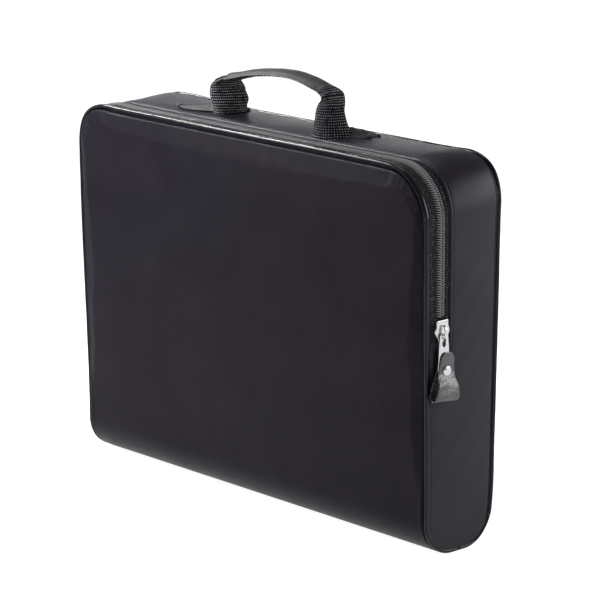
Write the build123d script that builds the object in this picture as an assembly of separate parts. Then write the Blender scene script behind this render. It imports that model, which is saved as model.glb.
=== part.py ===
from build123d import *
import os

# A zip-round portfolio case with a carrying handle. Millimetres; X to the right, Y to the back, Z up.
# The origin is the middle of the flat strip that the case stands on.

# Driving dimensions of the whole case
WIDTH = 470.0  # over the piping, left to right
DEPTH = 83.0  # over the covers, front to back
HEIGHT = 350.0  # floor to the top piping, without the handle
CORNER = 45.0  # radius of the two top corners, seen from the front
WELL_R = 33.5  # radius of the rounded bottom, seen from the side
WELL_TOP = 34.0  # where the rounded bottom meets the flat panels
FOLD_Z = 138.0  # line that the front flap folds down about
FOLD_GAP = 0.3  # clearance on each side of that line

# Layers of the padded front, bottom and back, measured inwards from the outer face
LAYERS = {"cover": (0.0, 1.2), "foam": (1.2, 4.2), "board": (4.2, 6.2), "lining": (6.2, 6.8)}
COVER_EDGE = 3.6  # how far the cover stops short of the outline, for the piping
PAD_EDGE = 12.0  # how far foam, board and lining stop short of the outline

# Layers of the gusset, measured inwards from the side piping's outermost point
GUSSET_LAYERS = {"cover": (0.8, 2.0), "board": (2.0, 3.5), "lining": (3.5, 4.1)}
GUSSET_EDGE = 3.6
GUSSET_BOARD_EDGE = 8.0
SIDE_TOP = 300.0  # where the upright gusset meets the part that goes over the top
SLIT_LOW = 136.0  # the gusset's front edge leaves the front seam here

PIPING_R = 1.7
PIPING_INSET = 1.75  # from the outermost planes to the piping's centre line

# Zipper
ZIP_Y = -25.5  # centre line of the chain
ZIP_LOW = 192.0  # lower ends of the tapes
TEETH_LOW = 217.0  # lower ends of the coils, just above the parked slider
TAPE_FRONT_Y = -38.0
TAPE_REAR_Y = -14.5
TAPE_LEVEL = (2.6, 3.4)  # depth of the tape below the side's outermost plane
COIL_LEVEL = (0.3, 2.6)
CHAIN_GAP = 0.8  # half of the gap between the two sides of the chain
COIL_WIDTH = 4.6

# Slider and pull
SLIDER_LOW = 195.0
SLIDER_LENGTH = 20.0
SLIDER_HALF = ((20.0, 7.0), (12.0, 7.0), (8.0, 8.6), (5.0, 8.6), (0.0, 6.0))  # height over its mouth, half width
NECK_HALF = 0.5
NECK_SPAN = (1.0, 7.0)  # above the slider's mouth
PLATE = 1.2
TOP_PLATE_X = WIDTH / 2 + 0.1
LOW_PLATE_X = WIDTH / 2 - 5.0
FLANGE_DROP = 2.1
CHANNEL_HALF = 5.8
CROWN_RISE = 4.6
CROWN_BAR = 1.4
CROWN_HALF = 1.5
CROWN_SPAN = (198.6, 211.0)
CROWN_CORNER = 2.2
TONGUE_X = WIDTH / 2 + 2.6
TONGUE_HALF = 0.6
TONGUE_LOW = 164.0
TONGUE_TOP = 203.6
TONGUE_HALF_WIDTHS = (4.5, 5.8)  # at its top and at its lower end
TONGUE_CORNER = 3.0
EYE = ((-2.4, 201.6), (2.4, 201.6), (1.9, 193.0), (0.0, 190.6), (-1.9, 193.0))  # across and up
RIVET_Z = 170.0
RIVET_R = 1.5
RIVET_CLEARANCE = 0.3
RIVET_HEAD_R = 3.4
RIVET_DOME = 1.7
RIVET_DISC_R = 2.8
RIVET_DISC = 0.6
PULL_GAP = 0.3  # between the tongue's faces and the leather
TAB_TOP = 185.0
TAB_LOW = 138.5
TAB_LEATHER = 1.3
TAB_NARROW_LOW = 165.0  # the two leather faces run together above this
TAB_BULGE = 7.2  # how far the outer face swings out from the tongue
TAB_BULGE_TOP = 148.0
TAB_HALF_WIDTHS = ((6.0, 185.0), (9.0, 170.0), (13.2, 147.0))  # half width and height, wide to the bottom
TAB_CORNER = 4.0

# Handle
LEG_LINES = {  # across and up, from foot to grip
    "left": ((-70.0, 352.0), (-76.0, 368.0), (-82.0, 378.0), (-80.5, 385.0)),
    "right": ((70.0, 352.0), (66.0, 366.0), (76.0, 380.0), (78.0, 392.0)),
}
LEG_BEND = 8.0
LEG_TOP_WIDTH = 22.0
LEG_FLARE = 8.0  # height over which the leg keeps its full width
TOP_FACE = HEIGHT - GUSSET_LAYERS["cover"][0]
GRIP_POINTS = ((-78.0, 385.5), (0.0, 400.0), (74.0, 394.0))
GRIP_WIDTH = 24.0
GRIP_THICK = 5.4
WEB_THICK = 2.4
WEB_WIDTH = 20.0
LEG_THICK = 6.0
LEG_WIDTH = 38.0
TAIL_X = (56.0, 116.0)
TAIL_HALF = 16.0
TAIL_THICK = 1.7
PATCH_ROOT = 76.0
PATCH_HALF = 19.0
PATCH_TIPS = {"left": 155.0, "right": 135.0}
PATCH_THICK = 2.4
PATCH_RISE = 2.8
BACKING_X = 120.0
BACKING_Y = (-9.0, 33.0)
BACKING_THICK = 1.5

MID = DEPTH / 2


def front_outline(inset, low):
    """Front view of the case, inset all round: straight sides, two rounded top corners, flat lower edge."""
    half, top, radius = WIDTH / 2 - inset, HEIGHT - inset, CORNER - inset
    with BuildSketch(Plane.XZ) as sketch:
        with BuildLine():
            Line((-half, low), (-half, top - radius))
            RadiusArc((-half, top - radius), (-half + radius, top), radius)
            Line((-half + radius, top), (half - radius, top))
            RadiusArc((half - radius, top), (half, top - radius), radius)
            Line((half, top - radius), (half, low))
            Line((half, low), (-half, low))
        make_face()
    return sketch.sketch


def along_y(sketch, y_low, y_high):
    """Extrude a front-view outline between two depths."""
    return Pos(0, y_high, 0) * extrude(sketch, y_high - y_low)


def arch(level, low, y_low, y_high):
    """A band that follows the sides and top of the case at the given depth below the outline."""
    ring = front_outline(level[0], low) - front_outline(level[1], low)
    return along_y(ring, y_low, y_high)


def well_outline(inset, top):
    """Side view of the rounded bottom, inset, closed at the given height."""
    half, radius = MID - inset, WELL_R - inset
    flat = half - radius
    with BuildSketch(Plane.YZ) as sketch:
        with BuildLine():
            Line((-half, top), (-half, inset + radius))
            RadiusArc((-half, inset + radius), (-flat, inset), -radius)
            Line((-flat, inset), (flat, inset))
            RadiusArc((flat, inset), (half, inset + radius), -radius)
            Line((half, inset + radius), (half, top))
            Line((half, top), (-half, top))
        make_face()
    return sketch.sketch


def block(x, y, z):
    """A box between pairs of limits."""
    size = (x[1] - x[0], y[1] - y[0], z[1] - z[0])
    return Pos(sum(x) / 2, sum(y) / 2, sum(z) / 2) * Box(*size)


def side_plan(points, x_low, x_high):
    """Extrude a closed side-view polygon between two planes across the width."""
    face = Plane.YZ * make_face(Polyline(*points, close=True))
    return Pos(x_low, 0, 0) * extrude(face, x_high - x_low)


def panel_pieces(node, layer):
    """One layer of the back, the bottom, the lower front and the flap."""
    outer, inner = LAYERS[layer]
    edge = COVER_EDGE if layer == "cover" else PAD_EDGE
    half = WIDTH / 2 - edge
    if node == "back":
        return along_y(front_outline(edge, WELL_TOP), MID - inner, MID - outer)
    if node == "flap":
        return along_y(front_outline(edge, FOLD_Z + FOLD_GAP), -MID + outer, -MID + inner)
    if node == "front":
        return block((-half, half), (-MID + outer, -MID + inner), (WELL_TOP, FOLD_Z - FOLD_GAP))
    ring = well_outline(outer, WELL_TOP) - well_outline(inner, WELL_TOP)
    return Pos(-half, 0, 0) * extrude(ring, 2 * half)


def gusset_side(layer, side):
    """One layer of the upright gusset, with the slanted edge that leaves the front seam below the zip."""
    outer, inner = GUSSET_LAYERS[layer]
    inset = GUSSET_BOARD_EDGE if layer == "board" else GUSSET_EDGE
    edge = inset - GUSSET_EDGE
    upper = [
        (-MID + inset, SLIT_LOW - edge),
        (TAPE_REAR_Y + edge, ZIP_LOW - edge),
        (TAPE_REAR_Y + edge, SIDE_TOP),
        (MID - inset, SIDE_TOP),
        (MID - inset, WELL_TOP),
        (-MID + inset, WELL_TOP),
    ]
    thick = inner - outer
    low = WIDTH / 2 - inner
    plate = side_plan(upper, low, low + thick)
    plate += Pos(low, 0, 0) * extrude(well_outline(inset, WELL_TOP), thick)
    return plate if side == "right" else mirror(plate, Plane.YZ)


def gusset_top(layer):
    """One layer of the gusset over the top and round both corners."""
    inset = GUSSET_BOARD_EDGE if layer == "board" else GUSSET_EDGE
    edge = inset - GUSSET_EDGE
    return arch(GUSSET_LAYERS[layer], SIDE_TOP, TAPE_REAR_Y + edge, MID - inset)


def bent_rod(edges, radius):
    """A round rod along tangent lines and arcs."""
    path = Wire(edges)
    return sweep(Plane(path @ 0, z_dir=path % 0) * Circle(radius), path=path)


def piping_arch(y, low):
    """Centre line up the left side, over the top and down the right side at one depth."""
    half, top, radius = WIDTH / 2 - PIPING_INSET, HEIGHT - PIPING_INSET, CORNER - PIPING_INSET
    diagonal = radius * (1 - 0.5**0.5)
    return [
        Line((-half, y, low), (-half, y, top - radius)),
        ThreePointArc(
            (-half, y, top - radius), (-half + diagonal, y, top - diagonal), (-half + radius, y, top)
        ),
        Line((-half + radius, y, top), (half - radius, y, top)),
        ThreePointArc((half - radius, y, top), (half - diagonal, y, top - diagonal), (half, y, top - radius)),
        Line((half, y, top - radius), (half, y, low)),
    ]


def piping_well(x):
    """Centre line from the back edge down, under the rounded bottom and up to the fold at one side."""
    half, radius = MID - PIPING_INSET, WELL_R - PIPING_INSET
    flat, low = half - radius, PIPING_INSET
    diagonal = radius * (1 - 0.5**0.5)
    return [
        Line((x, half, WELL_TOP), (x, half, WELL_R)),
        ThreePointArc((x, half, WELL_R), (x, half - diagonal, low + diagonal), (x, flat, low)),
        Line((x, flat, low), (x, -flat, low)),
        ThreePointArc((x, -flat, low), (x, -half + diagonal, low + diagonal), (x, -half, WELL_R)),
        Line((x, -half, WELL_R), (x, -half, FOLD_Z - FOLD_GAP)),
    ]


def piping_case():
    """The fixed part of the piping: both rounded ends and the whole back edge."""
    side = WIDTH / 2 - PIPING_INSET
    rod = bent_rod(piping_arch(MID - PIPING_INSET, WELL_TOP), PIPING_R)
    for x in (-side, side):
        rod += bent_rod(piping_well(x), PIPING_R)
    return rod


def piping_flap():
    """The part of the piping that moves with the flap."""
    return bent_rod(piping_arch(-MID + PIPING_INSET, FOLD_Z + FOLD_GAP), PIPING_R)


def tape_ends(y_low, y_high):
    """The turned and stitched ends of one tape, left and right, just below the tape."""
    level = WIDTH / 2 - TAPE_LEVEL[1] - 0.6, WIDTH / 2 - TAPE_LEVEL[0]
    right = block(level, (y_low, y_high), (ZIP_LOW - 3.0, ZIP_LOW))
    return Compound(children=[right, mirror(right, Plane.YZ)])


def slider_plan():
    """Side-view outline of the slider's plates: square tail up, wide shoulders, tapered mouth down."""
    right = [(ZIP_Y + half, SLIDER_LOW + height) for height, half in SLIDER_HALF]
    left = [(ZIP_Y - half, SLIDER_LOW + height) for height, half in reversed(SLIDER_HALF)]
    return right + left


def slider_body():
    """Two plates joined by a neck between the chain halves, with flanges over the chain's edges."""
    top = side_plan(slider_plan(), TOP_PLATE_X, TOP_PLATE_X + PLATE)
    low = side_plan(slider_plan(), LOW_PLATE_X, LOW_PLATE_X + PLATE)
    flanges = side_plan(slider_plan(), TOP_PLATE_X - FLANGE_DROP, TOP_PLATE_X)
    chain = (ZIP_Y - CHANNEL_HALF, ZIP_Y + CHANNEL_HALF)
    span = (TOP_PLATE_X - FLANGE_DROP, TOP_PLATE_X)
    flanges -= block(span, chain, (SLIDER_LOW - 1, SLIDER_LOW + SLIDER_LENGTH + 1))
    neck_span = (LOW_PLATE_X + PLATE, TOP_PLATE_X)
    neck_height = (SLIDER_LOW + NECK_SPAN[0], SLIDER_LOW + NECK_SPAN[1])
    neck = block(neck_span, (ZIP_Y - NECK_HALF, ZIP_Y + NECK_HALF), neck_height)
    return top + low + flanges + neck


def slider_crown():
    """The loop on top of the slider that holds the pull."""
    floor = TOP_PLATE_X + PLATE
    outer = block((floor, floor + CROWN_RISE), (ZIP_Y - CROWN_HALF, ZIP_Y + CROWN_HALF), CROWN_SPAN)
    outer = fillet(outer.edges().filter_by(Axis.Y).group_by(Axis.X)[-1], CROWN_CORNER)
    gap = (floor, floor + CROWN_RISE - CROWN_BAR)
    post = CROWN_BAR + 0.4
    inside = (CROWN_SPAN[0] + post, CROWN_SPAN[1] - post + 0.2)
    return outer - block(gap, (ZIP_Y - 2 * CROWN_HALF, ZIP_Y + 2 * CROWN_HALF), inside)


def pull_tongue():
    """Flat metal tongue with a pointed eye for the crown and a clearance hole for the rivet."""
    top, low = TONGUE_HALF_WIDTHS
    plan = [(-top, TONGUE_TOP), (top, TONGUE_TOP), (low, TONGUE_LOW), (-low, TONGUE_LOW)]
    span = (TONGUE_X - TONGUE_HALF, TONGUE_X + TONGUE_HALF)
    blade = side_plan([(ZIP_Y + y, z) for y, z in plan], *span)
    blade = fillet(blade.edges().filter_by(Axis.X).group_by(Axis.Z)[0], TONGUE_CORNER)
    blade -= side_plan([(ZIP_Y + y, z) for y, z in EYE], span[0] - 1, span[1] + 1)
    return blade - rivet_shank(RIVET_R + RIVET_CLEARANCE)


def rivet_shank(radius):
    """A cylinder through the pull at the rivet."""
    return Pos(TONGUE_X, ZIP_Y, RIVET_Z) * Rot(0, 90, 0) * Cylinder(radius, 6.0)


def pull_leather():
    """Leather strip folded up round the tongue: a teardrop loop, narrow at the top and wide at the bottom."""
    front, back = TONGUE_X + TONGUE_HALF + PULL_GAP, TONGUE_X - TONGUE_HALF - PULL_GAP
    wide = front + TAB_BULGE
    with BuildSketch(Plane.XZ) as sketch:
        with BuildLine():
            outer = [
                (front + TAB_LEATHER, TAB_TOP),
                (front + TAB_LEATHER, TAB_NARROW_LOW),
                (wide, TAB_BULGE_TOP),
                (wide, TAB_LOW),
                (back - TAB_LEATHER, TAB_LOW),
                (back - TAB_LEATHER, TAB_TOP),
            ]
            FilletPolyline(*outer, radius=[12.0, 12.0, 4.6, 4.0])
            inner = [
                (back, TAB_TOP),
                (back, TAB_LOW + TAB_LEATHER),
                (wide - TAB_LEATHER, TAB_LOW + TAB_LEATHER),
                (wide - TAB_LEATHER, TAB_BULGE_TOP + 0.3),
                (front, TAB_NARROW_LOW + 0.3),
                (front, TAB_TOP),
            ]
            FilletPolyline(*inner, radius=[2.7, 3.3, 10.7, 13.3])
            Line(outer[-1], inner[0])
            Line(inner[-1], outer[0])
        make_face()
    widest = TAB_HALF_WIDTHS[-1][0]
    strip = along_y(sketch.sketch, ZIP_Y - widest - 1, ZIP_Y + widest + 1)
    right = [(ZIP_Y + half, z) for half, z in (*TAB_HALF_WIDTHS, (widest, TAB_LOW))]
    left = [(ZIP_Y - half, z) for half, z in reversed((*TAB_HALF_WIDTHS, (widest, TAB_LOW)))]
    trim = side_plan(right + left, back - 2 * TAB_LEATHER, wide + TAB_LEATHER)
    trim = fillet(trim.edges().filter_by(Axis.X).group_by(Axis.Z)[-1], TAB_CORNER)
    return (strip & trim) - rivet_shank(RIVET_R)


def pull_rivet():
    """Shank through leather and tongue, a domed head outside and a thin disc behind, turned as one."""
    skin = TONGUE_HALF + PULL_GAP + TAB_LEATHER
    behind = skin + RIVET_DISC
    with BuildSketch(Plane.XY) as sketch:
        with BuildLine():
            Polyline((skin + RIVET_DOME, 0), (-behind, 0), (-behind, RIVET_DISC_R), (-skin, RIVET_DISC_R))
            Polyline((-skin, RIVET_DISC_R), (-skin, RIVET_R), (skin, RIVET_R), (skin, RIVET_HEAD_R))
            ThreePointArc((skin, RIVET_HEAD_R), (skin + 1.2, 2.0), (skin + RIVET_DOME, 0))
        make_face()
    return Pos(TONGUE_X, ZIP_Y, RIVET_Z) * revolve(sketch.sketch, Axis.X)


def strap(edges, width, thick):
    """A flat strap along a centre line in the XZ plane, its width across Y."""
    path = Wire(edges)
    tangent = path % 0
    section = Plane(path @ 0, x_dir=(0, 1, 0), z_dir=tangent) * Rectangle(width, thick)
    return sweep(section, path=path)


def grip_line():
    """The grip's centre line, an arc over the hand gap."""
    return [ThreePointArc(*[(x, 0, z) for x, z in GRIP_POINTS])]


def handle_grip():
    """Vinyl sleeve round the webbing."""
    return strap(grip_line(), GRIP_WIDTH, GRIP_THICK) - handle_core()


def handle_core():
    """The webbing inside the grip."""
    return strap(grip_line(), WEB_WIDTH, WEB_THICK)


def handle_leg(side):
    """One webbing leg, gathered towards the grip, bowed out above the case and waisted below the grip."""
    points = LEG_LINES[side]
    line = FilletPolyline(*[(x, 0, z) for x, z in points], radius=LEG_BEND)
    leg = strap(line.edges(), LEG_WIDTH, LEG_THICK)
    foot, top = TOP_FACE + PATCH_RISE, points[-1][1] + LEG_THICK
    wide, narrow = LEG_WIDTH / 2, LEG_TOP_WIDTH / 2
    half = [(wide, foot - LEG_THICK), (wide, foot + LEG_FLARE), (narrow, top)]
    taper = half + [(-y, z) for y, z in reversed(half)]
    everywhere = (-BACKING_X, BACKING_X)
    leg &= side_plan(taper, *everywhere)
    leg -= block(everywhere, (-LEG_WIDTH, LEG_WIDTH), (foot - LEG_WIDTH, foot))
    return leg - strap(grip_line(), GRIP_WIDTH, GRIP_THICK)


def handle_tail(side):
    """The end of the webbing, laid flat and stitched to the top under the patch."""
    tail = block(TAIL_X, (-TAIL_HALF, TAIL_HALF), (TOP_FACE, TOP_FACE + TAIL_THICK))
    return tail if side == "right" else mirror(tail, Plane.YZ)


def handle_patch(side):
    """Leaf-shaped vinyl patch over the webbing's end, pointed away from the handle."""
    tip = PATCH_TIPS[side]
    middle = (tip + PATCH_ROOT + 8) / 2
    with BuildSketch(Plane.XY) as sketch:
        with BuildLine():
            ThreePointArc((PATCH_ROOT, -PATCH_HALF), (middle, -0.8 * PATCH_HALF), (tip, 0.0))
            ThreePointArc((tip, 0.0), (middle, 0.8 * PATCH_HALF), (PATCH_ROOT, PATCH_HALF))
            Line((PATCH_ROOT, PATCH_HALF), (PATCH_ROOT, -PATCH_HALF))
        make_face()
    leaf = Pos(0, 0, TOP_FACE) * extrude(sketch.sketch, PATCH_THICK)
    leaf -= handle_tail("right")
    return leaf if side == "right" else mirror(leaf, Plane.YZ)


def handle_backing():
    """Strip inside the top that spreads the handle's pull."""
    top = HEIGHT - GUSSET_LAYERS["lining"][1]
    return block((-BACKING_X, BACKING_X), BACKING_Y, (top - BACKING_THICK, top))


def pieces():
    """Every piece of the case under its node's name."""
    made = {}
    for zone in ("back", "bottom", "front", "flap"):
        for layer in LAYERS:
            made[f"{zone}_{layer}"] = panel_pieces(zone, layer)
    for layer in GUSSET_LAYERS:
        for side in ("left", "right"):
            made[f"gusset_{side}_{layer}"] = gusset_side(layer, side)
        made[f"gusset_top_{layer}"] = gusset_top(layer)
    made["piping_case"] = piping_case()
    made["piping_flap"] = piping_flap()
    front_edge, rear_edge = ZIP_Y - CHAIN_GAP, ZIP_Y + CHAIN_GAP
    made["zip_tape_front"] = arch(TAPE_LEVEL, ZIP_LOW, TAPE_FRONT_Y, front_edge)
    made["zip_tape_rear"] = arch(TAPE_LEVEL, ZIP_LOW, rear_edge, TAPE_REAR_Y)
    made["zip_coil_front"] = arch(COIL_LEVEL, TEETH_LOW, front_edge - COIL_WIDTH, front_edge)
    made["zip_coil_rear"] = arch(COIL_LEVEL, TEETH_LOW, rear_edge, rear_edge + COIL_WIDTH)
    made["tape_ends_front"] = tape_ends(TAPE_FRONT_Y, front_edge - 3.0)
    made["tape_ends_rear"] = tape_ends(rear_edge + 3.0, TAPE_REAR_Y - 1.5)
    made["slider_body"] = slider_body()
    made["slider_crown"] = slider_crown()
    made["pull_tongue"] = pull_tongue()
    made["pull_leather"] = pull_leather()
    made["pull_rivet"] = pull_rivet()
    made["handle_core"] = handle_core()
    made["handle_grip"] = handle_grip()
    for side in ("left", "right"):
        made[f"handle_leg_{side}"] = handle_leg(side)
        made[f"handle_tail_{side}"] = handle_tail(side)
        made[f"handle_patch_{side}"] = handle_patch(side)
    made["handle_backing"] = handle_backing()
    return made


def main():
    os.makedirs("parts", exist_ok=True)
    for name, shape in pieces().items():
        export_step(shape, f"parts/{name}.step")


main()
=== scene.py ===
"""A zip-round portfolio case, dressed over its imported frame. Metres; X right, Y back, Z up."""
import math

import bpy
import numpy as np
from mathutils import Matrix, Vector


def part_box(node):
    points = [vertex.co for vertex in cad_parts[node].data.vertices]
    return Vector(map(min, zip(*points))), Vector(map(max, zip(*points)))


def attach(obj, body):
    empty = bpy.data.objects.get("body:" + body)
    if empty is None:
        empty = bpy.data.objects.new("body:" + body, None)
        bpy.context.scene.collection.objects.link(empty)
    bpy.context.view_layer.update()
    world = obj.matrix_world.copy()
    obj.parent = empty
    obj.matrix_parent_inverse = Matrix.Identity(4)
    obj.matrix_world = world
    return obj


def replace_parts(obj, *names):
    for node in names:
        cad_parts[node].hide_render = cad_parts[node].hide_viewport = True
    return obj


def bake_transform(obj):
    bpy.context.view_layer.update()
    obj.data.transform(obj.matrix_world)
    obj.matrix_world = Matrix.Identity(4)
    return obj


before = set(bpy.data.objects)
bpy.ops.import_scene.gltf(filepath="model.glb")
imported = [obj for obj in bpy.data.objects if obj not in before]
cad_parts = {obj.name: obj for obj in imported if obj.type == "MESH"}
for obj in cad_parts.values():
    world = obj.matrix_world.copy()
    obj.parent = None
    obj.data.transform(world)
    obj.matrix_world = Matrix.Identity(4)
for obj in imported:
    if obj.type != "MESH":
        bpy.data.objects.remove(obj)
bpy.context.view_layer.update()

# ---------------------------------------------------------------- sizes, from the frame
MM = 0.001
HALF_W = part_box("piping_case")[1].x
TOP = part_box("piping_case")[1].z
HALF_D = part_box("bottom_cover")[1].y
CORNER = 45 * MM  # radius of the top corners over the piping
WELL_R = 33.5 * MM  # radius of the rounded bottom over the cover
PIPING_R = 1.85 * MM
PIPING_INSET = 1.8 * MM
FOLD_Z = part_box("front_cover")[1].z + 0.3 * MM
PANEL_EDGE = 2.9 * MM  # the cover's edge, tucked under the piping
PANEL_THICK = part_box("back_cover")[1].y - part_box("back_lining")[0].y
ZIP_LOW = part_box("zip_tape_rear")[0].z
TEETH_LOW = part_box("zip_coil_rear")[0].z
ZIP_Y = (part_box("zip_coil_front")[1].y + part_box("zip_coil_rear")[0].y) / 2
HEM_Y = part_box("gusset_top_cover")[0].y  # folded front edge of the gusset
GUSSET_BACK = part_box("gusset_top_cover")[1].y
GUSSET_DEPTH = HALF_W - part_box("gusset_right_cover")[1].x
GUSSET_THICK = 3.2 * MM
TAPE_DEPTH = HALF_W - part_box("zip_tape_rear")[1].x
TOP_CROWN = 3.5 * MM  # rise of the top between its seams
SIDE_CROWN = 1.3 * MM


# ---------------------------------------------------------------- meshes from grids
def smooth_step(low, high, value):
    """0 below low, 1 above high and an S between them."""
    t = np.clip((value - low) / (high - low), 0, 1)
    return t * t * (3 - 2 * t)


def near(value, centre, reach):
    """1 at the centre, fading like a bell to almost nothing at twice the reach."""
    return np.exp(-(((value - centre) / reach) ** 2))


# The soft case's own stance: how far each part of it settles away from the plain shape.
LEAN = 3.6 * MM  # the front forwards and the back backwards, at the top
BELLY = 3.0 * MM
SPREAD = 4.2 * MM  # the left end
HUMP = 3.4 * MM  # the rear edge over the left corner
SQUARER = 3.0 * MM  # the front's left corner
WANDER = [0, 0.8 * MM, 0.8 * MM, 0.5 * MM]  # the zipper's run down the ends, by height
WANDER_Z = [120 * MM, 150 * MM, 200 * MM, 300 * MM]
RUN_FRONT, RUN_REAR = -33 * MM, -16 * MM  # the zipper's run lies between these depths


def settled(points):
    """The points in the case's own stance: a sum of small shifts that fade in above the bottom and out over
    the top. The front leans and the back bellies, both by depth. The left end spreads. Bells round the
    corners make the front's left one squarer and its right one rounder, and push the back's right one out.
    A bell along the rear edge is its hump. What stands over the top is left alone."""
    x, y, z = points.T
    below_top = 1 - smooth_step(TOP + 3 * MM, TOP + 12 * MM, z)
    up = smooth_step(30 * MM, 300 * MM, z) * below_top
    low_up = smooth_step(8 * MM, 60 * MM, z) * below_top
    lean = np.interp(y, [-HALF_D, RUN_FRONT, RUN_REAR, HALF_D], [-LEAN, 0, 0, LEAN]) * up
    belly = np.interp(y, [RUN_REAR, HALF_D], [0, BELLY]) * low_up
    spread = SPREAD * smooth_step(-100 * MM, -HALF_W, x)
    hump = HUMP * near(x, -178 * MM, 48 * MM) * smooth_step(0, HALF_D, y) * up
    hump = hump * smooth_step(TOP - 70 * MM, TOP - 10 * MM, z)
    arc_x, arc_z = HALF_W - 13 * MM, TOP - 13 * MM
    in_front = 1 - smooth_step(RUN_FRONT, 20 * MM, y)
    left = SQUARER * near(np.hypot(x + arc_x, z - arc_z), 0, 26 * MM) * in_front
    push = np.interp(y, [-HALF_D, -20 * MM, HALF_D], [-2.5 * MM, -1.5 * MM, 3.2 * MM])
    right = near(np.hypot(x - arc_x, z - arc_z), 0, 30 * MM) * push
    band = np.interp(y, [-40 * MM, RUN_FRONT, RUN_REAR, -5 * MM], [0, 1, 1, 0])
    wander = np.interp(z, WANDER_Z, WANDER) * band * smooth_step(190 * MM, 225 * MM, np.abs(x))
    return np.stack([x - spread * up - left + right, y + lean + belly + wander, z + hump + left + right], -1)


def quad_cells(rows, columns, wrap=False):
    """Row and column numbers of each quad's four corners, before wrapping: (quads, 4, 2)."""
    i, j = np.meshgrid(np.arange(rows - 1), np.arange(columns if wrap else columns - 1), indexing="ij")
    corners = [(i, j), (i + 1, j), (i + 1, j + 1), (i, j + 1)]
    return np.stack([np.stack(c, -1) for c in corners], -2).reshape(-1, 4, 2)


def signed_volume(points, faces):
    """Six times the volume inside the faces, positive when they point outwards."""
    total = 0.0
    for block in faces:
        a = points[block[:, 0]]
        for k in range(1, block.shape[1] - 1):
            total += float(np.einsum("ij,ij->", a, np.cross(points[block[:, k]], points[block[:, k + 1]])))
    return total


def mesh_piece(name, points, faces, uvs=None, sharp=None):
    """A smooth mesh object from points (n, 3) and blocks of faces (k, 3) or (k, 4), turned to point outwards.
    uvs has one block of corner places for each block of faces."""
    points = settled(points)
    if signed_volume(points, faces) < 0:
        faces = [f[:, ::-1] for f in faces]
        uvs = None if uvs is None else [u[:, ::-1] for u in uvs]
    mesh = bpy.data.meshes.new(name)
    mesh.from_pydata(points.tolist(), [], [f for block in faces for f in block.tolist()])
    mesh.polygons.foreach_set("use_smooth", np.ones(len(mesh.polygons), bool))
    if uvs is not None:
        layer = mesh.uv_layers.new(name="length")
        flat = np.concatenate([u.reshape(-1, 2) for u in uvs])
        layer.data.foreach_set("uv", flat.astype(np.float32).ravel())
    if sharp is not None:
        mesh.set_sharp_from_angle(angle=math.radians(sharp))
    mesh.update()
    piece = bpy.data.objects.new(name, mesh)
    bpy.context.scene.collection.objects.link(piece)
    return piece


def lengths(line):
    """Distance along a line of points."""
    return np.concatenate([[0.0], np.cumsum(np.linalg.norm(np.diff(line, axis=0), axis=1))])


def at_places(place, run, line):
    """A line's points, or its normals, at places along its run."""
    return np.stack([np.interp(place, run, line[:, axis]) for axis in range(3)], -1)


def shell_piece(name, outer, inner):
    """A closed sheet: an outer grid, an inner grid of the same size and the rim between them."""
    rows, columns = outer.shape[:2]
    cells = quad_cells(rows, columns)
    faces = cells[..., 0] * columns + cells[..., 1]
    count = rows * columns
    j, i = np.arange(columns), np.arange(rows)
    last_row, last_column = (rows - 1) * columns, columns - 1
    border = np.concatenate(
        [j[:-1], i[:-1] * columns + last_column, (last_row + j)[:0:-1], (i * columns)[:0:-1]]
    )
    after = np.roll(border, -1)
    rim = np.stack([border, after, after + count, border + count], -1)
    u = lengths(outer[:, columns // 2])
    v = lengths(outer[rows // 2])
    place = np.stack(np.meshgrid(u, v, indexing="ij"), -1).reshape(-1, 2)
    place = np.concatenate([place, place])
    blocks = [faces, faces[:, ::-1] + count, rim]
    points = np.concatenate([outer.reshape(-1, 3), inner.reshape(-1, 3)])
    return mesh_piece(name, points, blocks, [place[b] for b in blocks])


def swept_grid(path, across, outward, side, rise):
    """Points of a section carried along a path: path + across * side + outward * rise."""
    return path[:, None] + across[:, None] * side[..., None] + outward[:, None] * rise[..., None]


def tube_piece(name, rings, closed=False, sharp=None):
    """A closed tube through rings of points (rows, columns, 3), with each end filled to its middle, or its
    last ring joined to its first."""
    if closed:
        rings = np.concatenate([rings, rings[:1]])
    rows, columns = rings.shape[:2]
    cells = quad_cells(rows, columns, wrap=True)
    real_rows = rows - 1 if closed else rows
    faces = (cells[..., 0] % real_rows) * columns + cells[..., 1] % columns
    u = lengths(rings[:, 0])
    v = lengths(np.concatenate([rings[rows // 2], rings[rows // 2][:1]]))
    uvs = [np.stack([u[cells[..., 0]], v[cells[..., 1]]], -1)]
    points = rings[:real_rows].reshape(-1, 3)
    blocks = [faces]
    if not closed:
        first = np.arange(columns)
        for row, turned in ((0, False), (rows - 1, True)):
            centre = len(points)
            points = np.concatenate([points, rings[row].mean(0)[None]])
            ring = first + row * columns
            fan = np.stack([ring, np.roll(ring, -1), np.full(columns, centre)], -1)
            blocks.append(fan[:, ::-1] if turned else fan)
            uvs.append(np.repeat([[u[row], 0.0]], 3 * columns, 0).reshape(-1, 3, 2))
    return mesh_piece(name, points, blocks, uvs, sharp)


def repeated_piece(name, template, faces, origins, axes):
    """One mesh of many copies of a small template. Each copy has an origin and three axes (k, 3, 3)."""
    placed = np.einsum("pi,kij->kpj", template, axes) + origins[:, None]
    block = faces[None] + (np.arange(len(origins)) * len(template))[:, None, None]
    return mesh_piece(name, placed.reshape(-1, 3), [block.reshape(-1, faces.shape[1])])


BEAD_SIDES = 6


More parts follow.
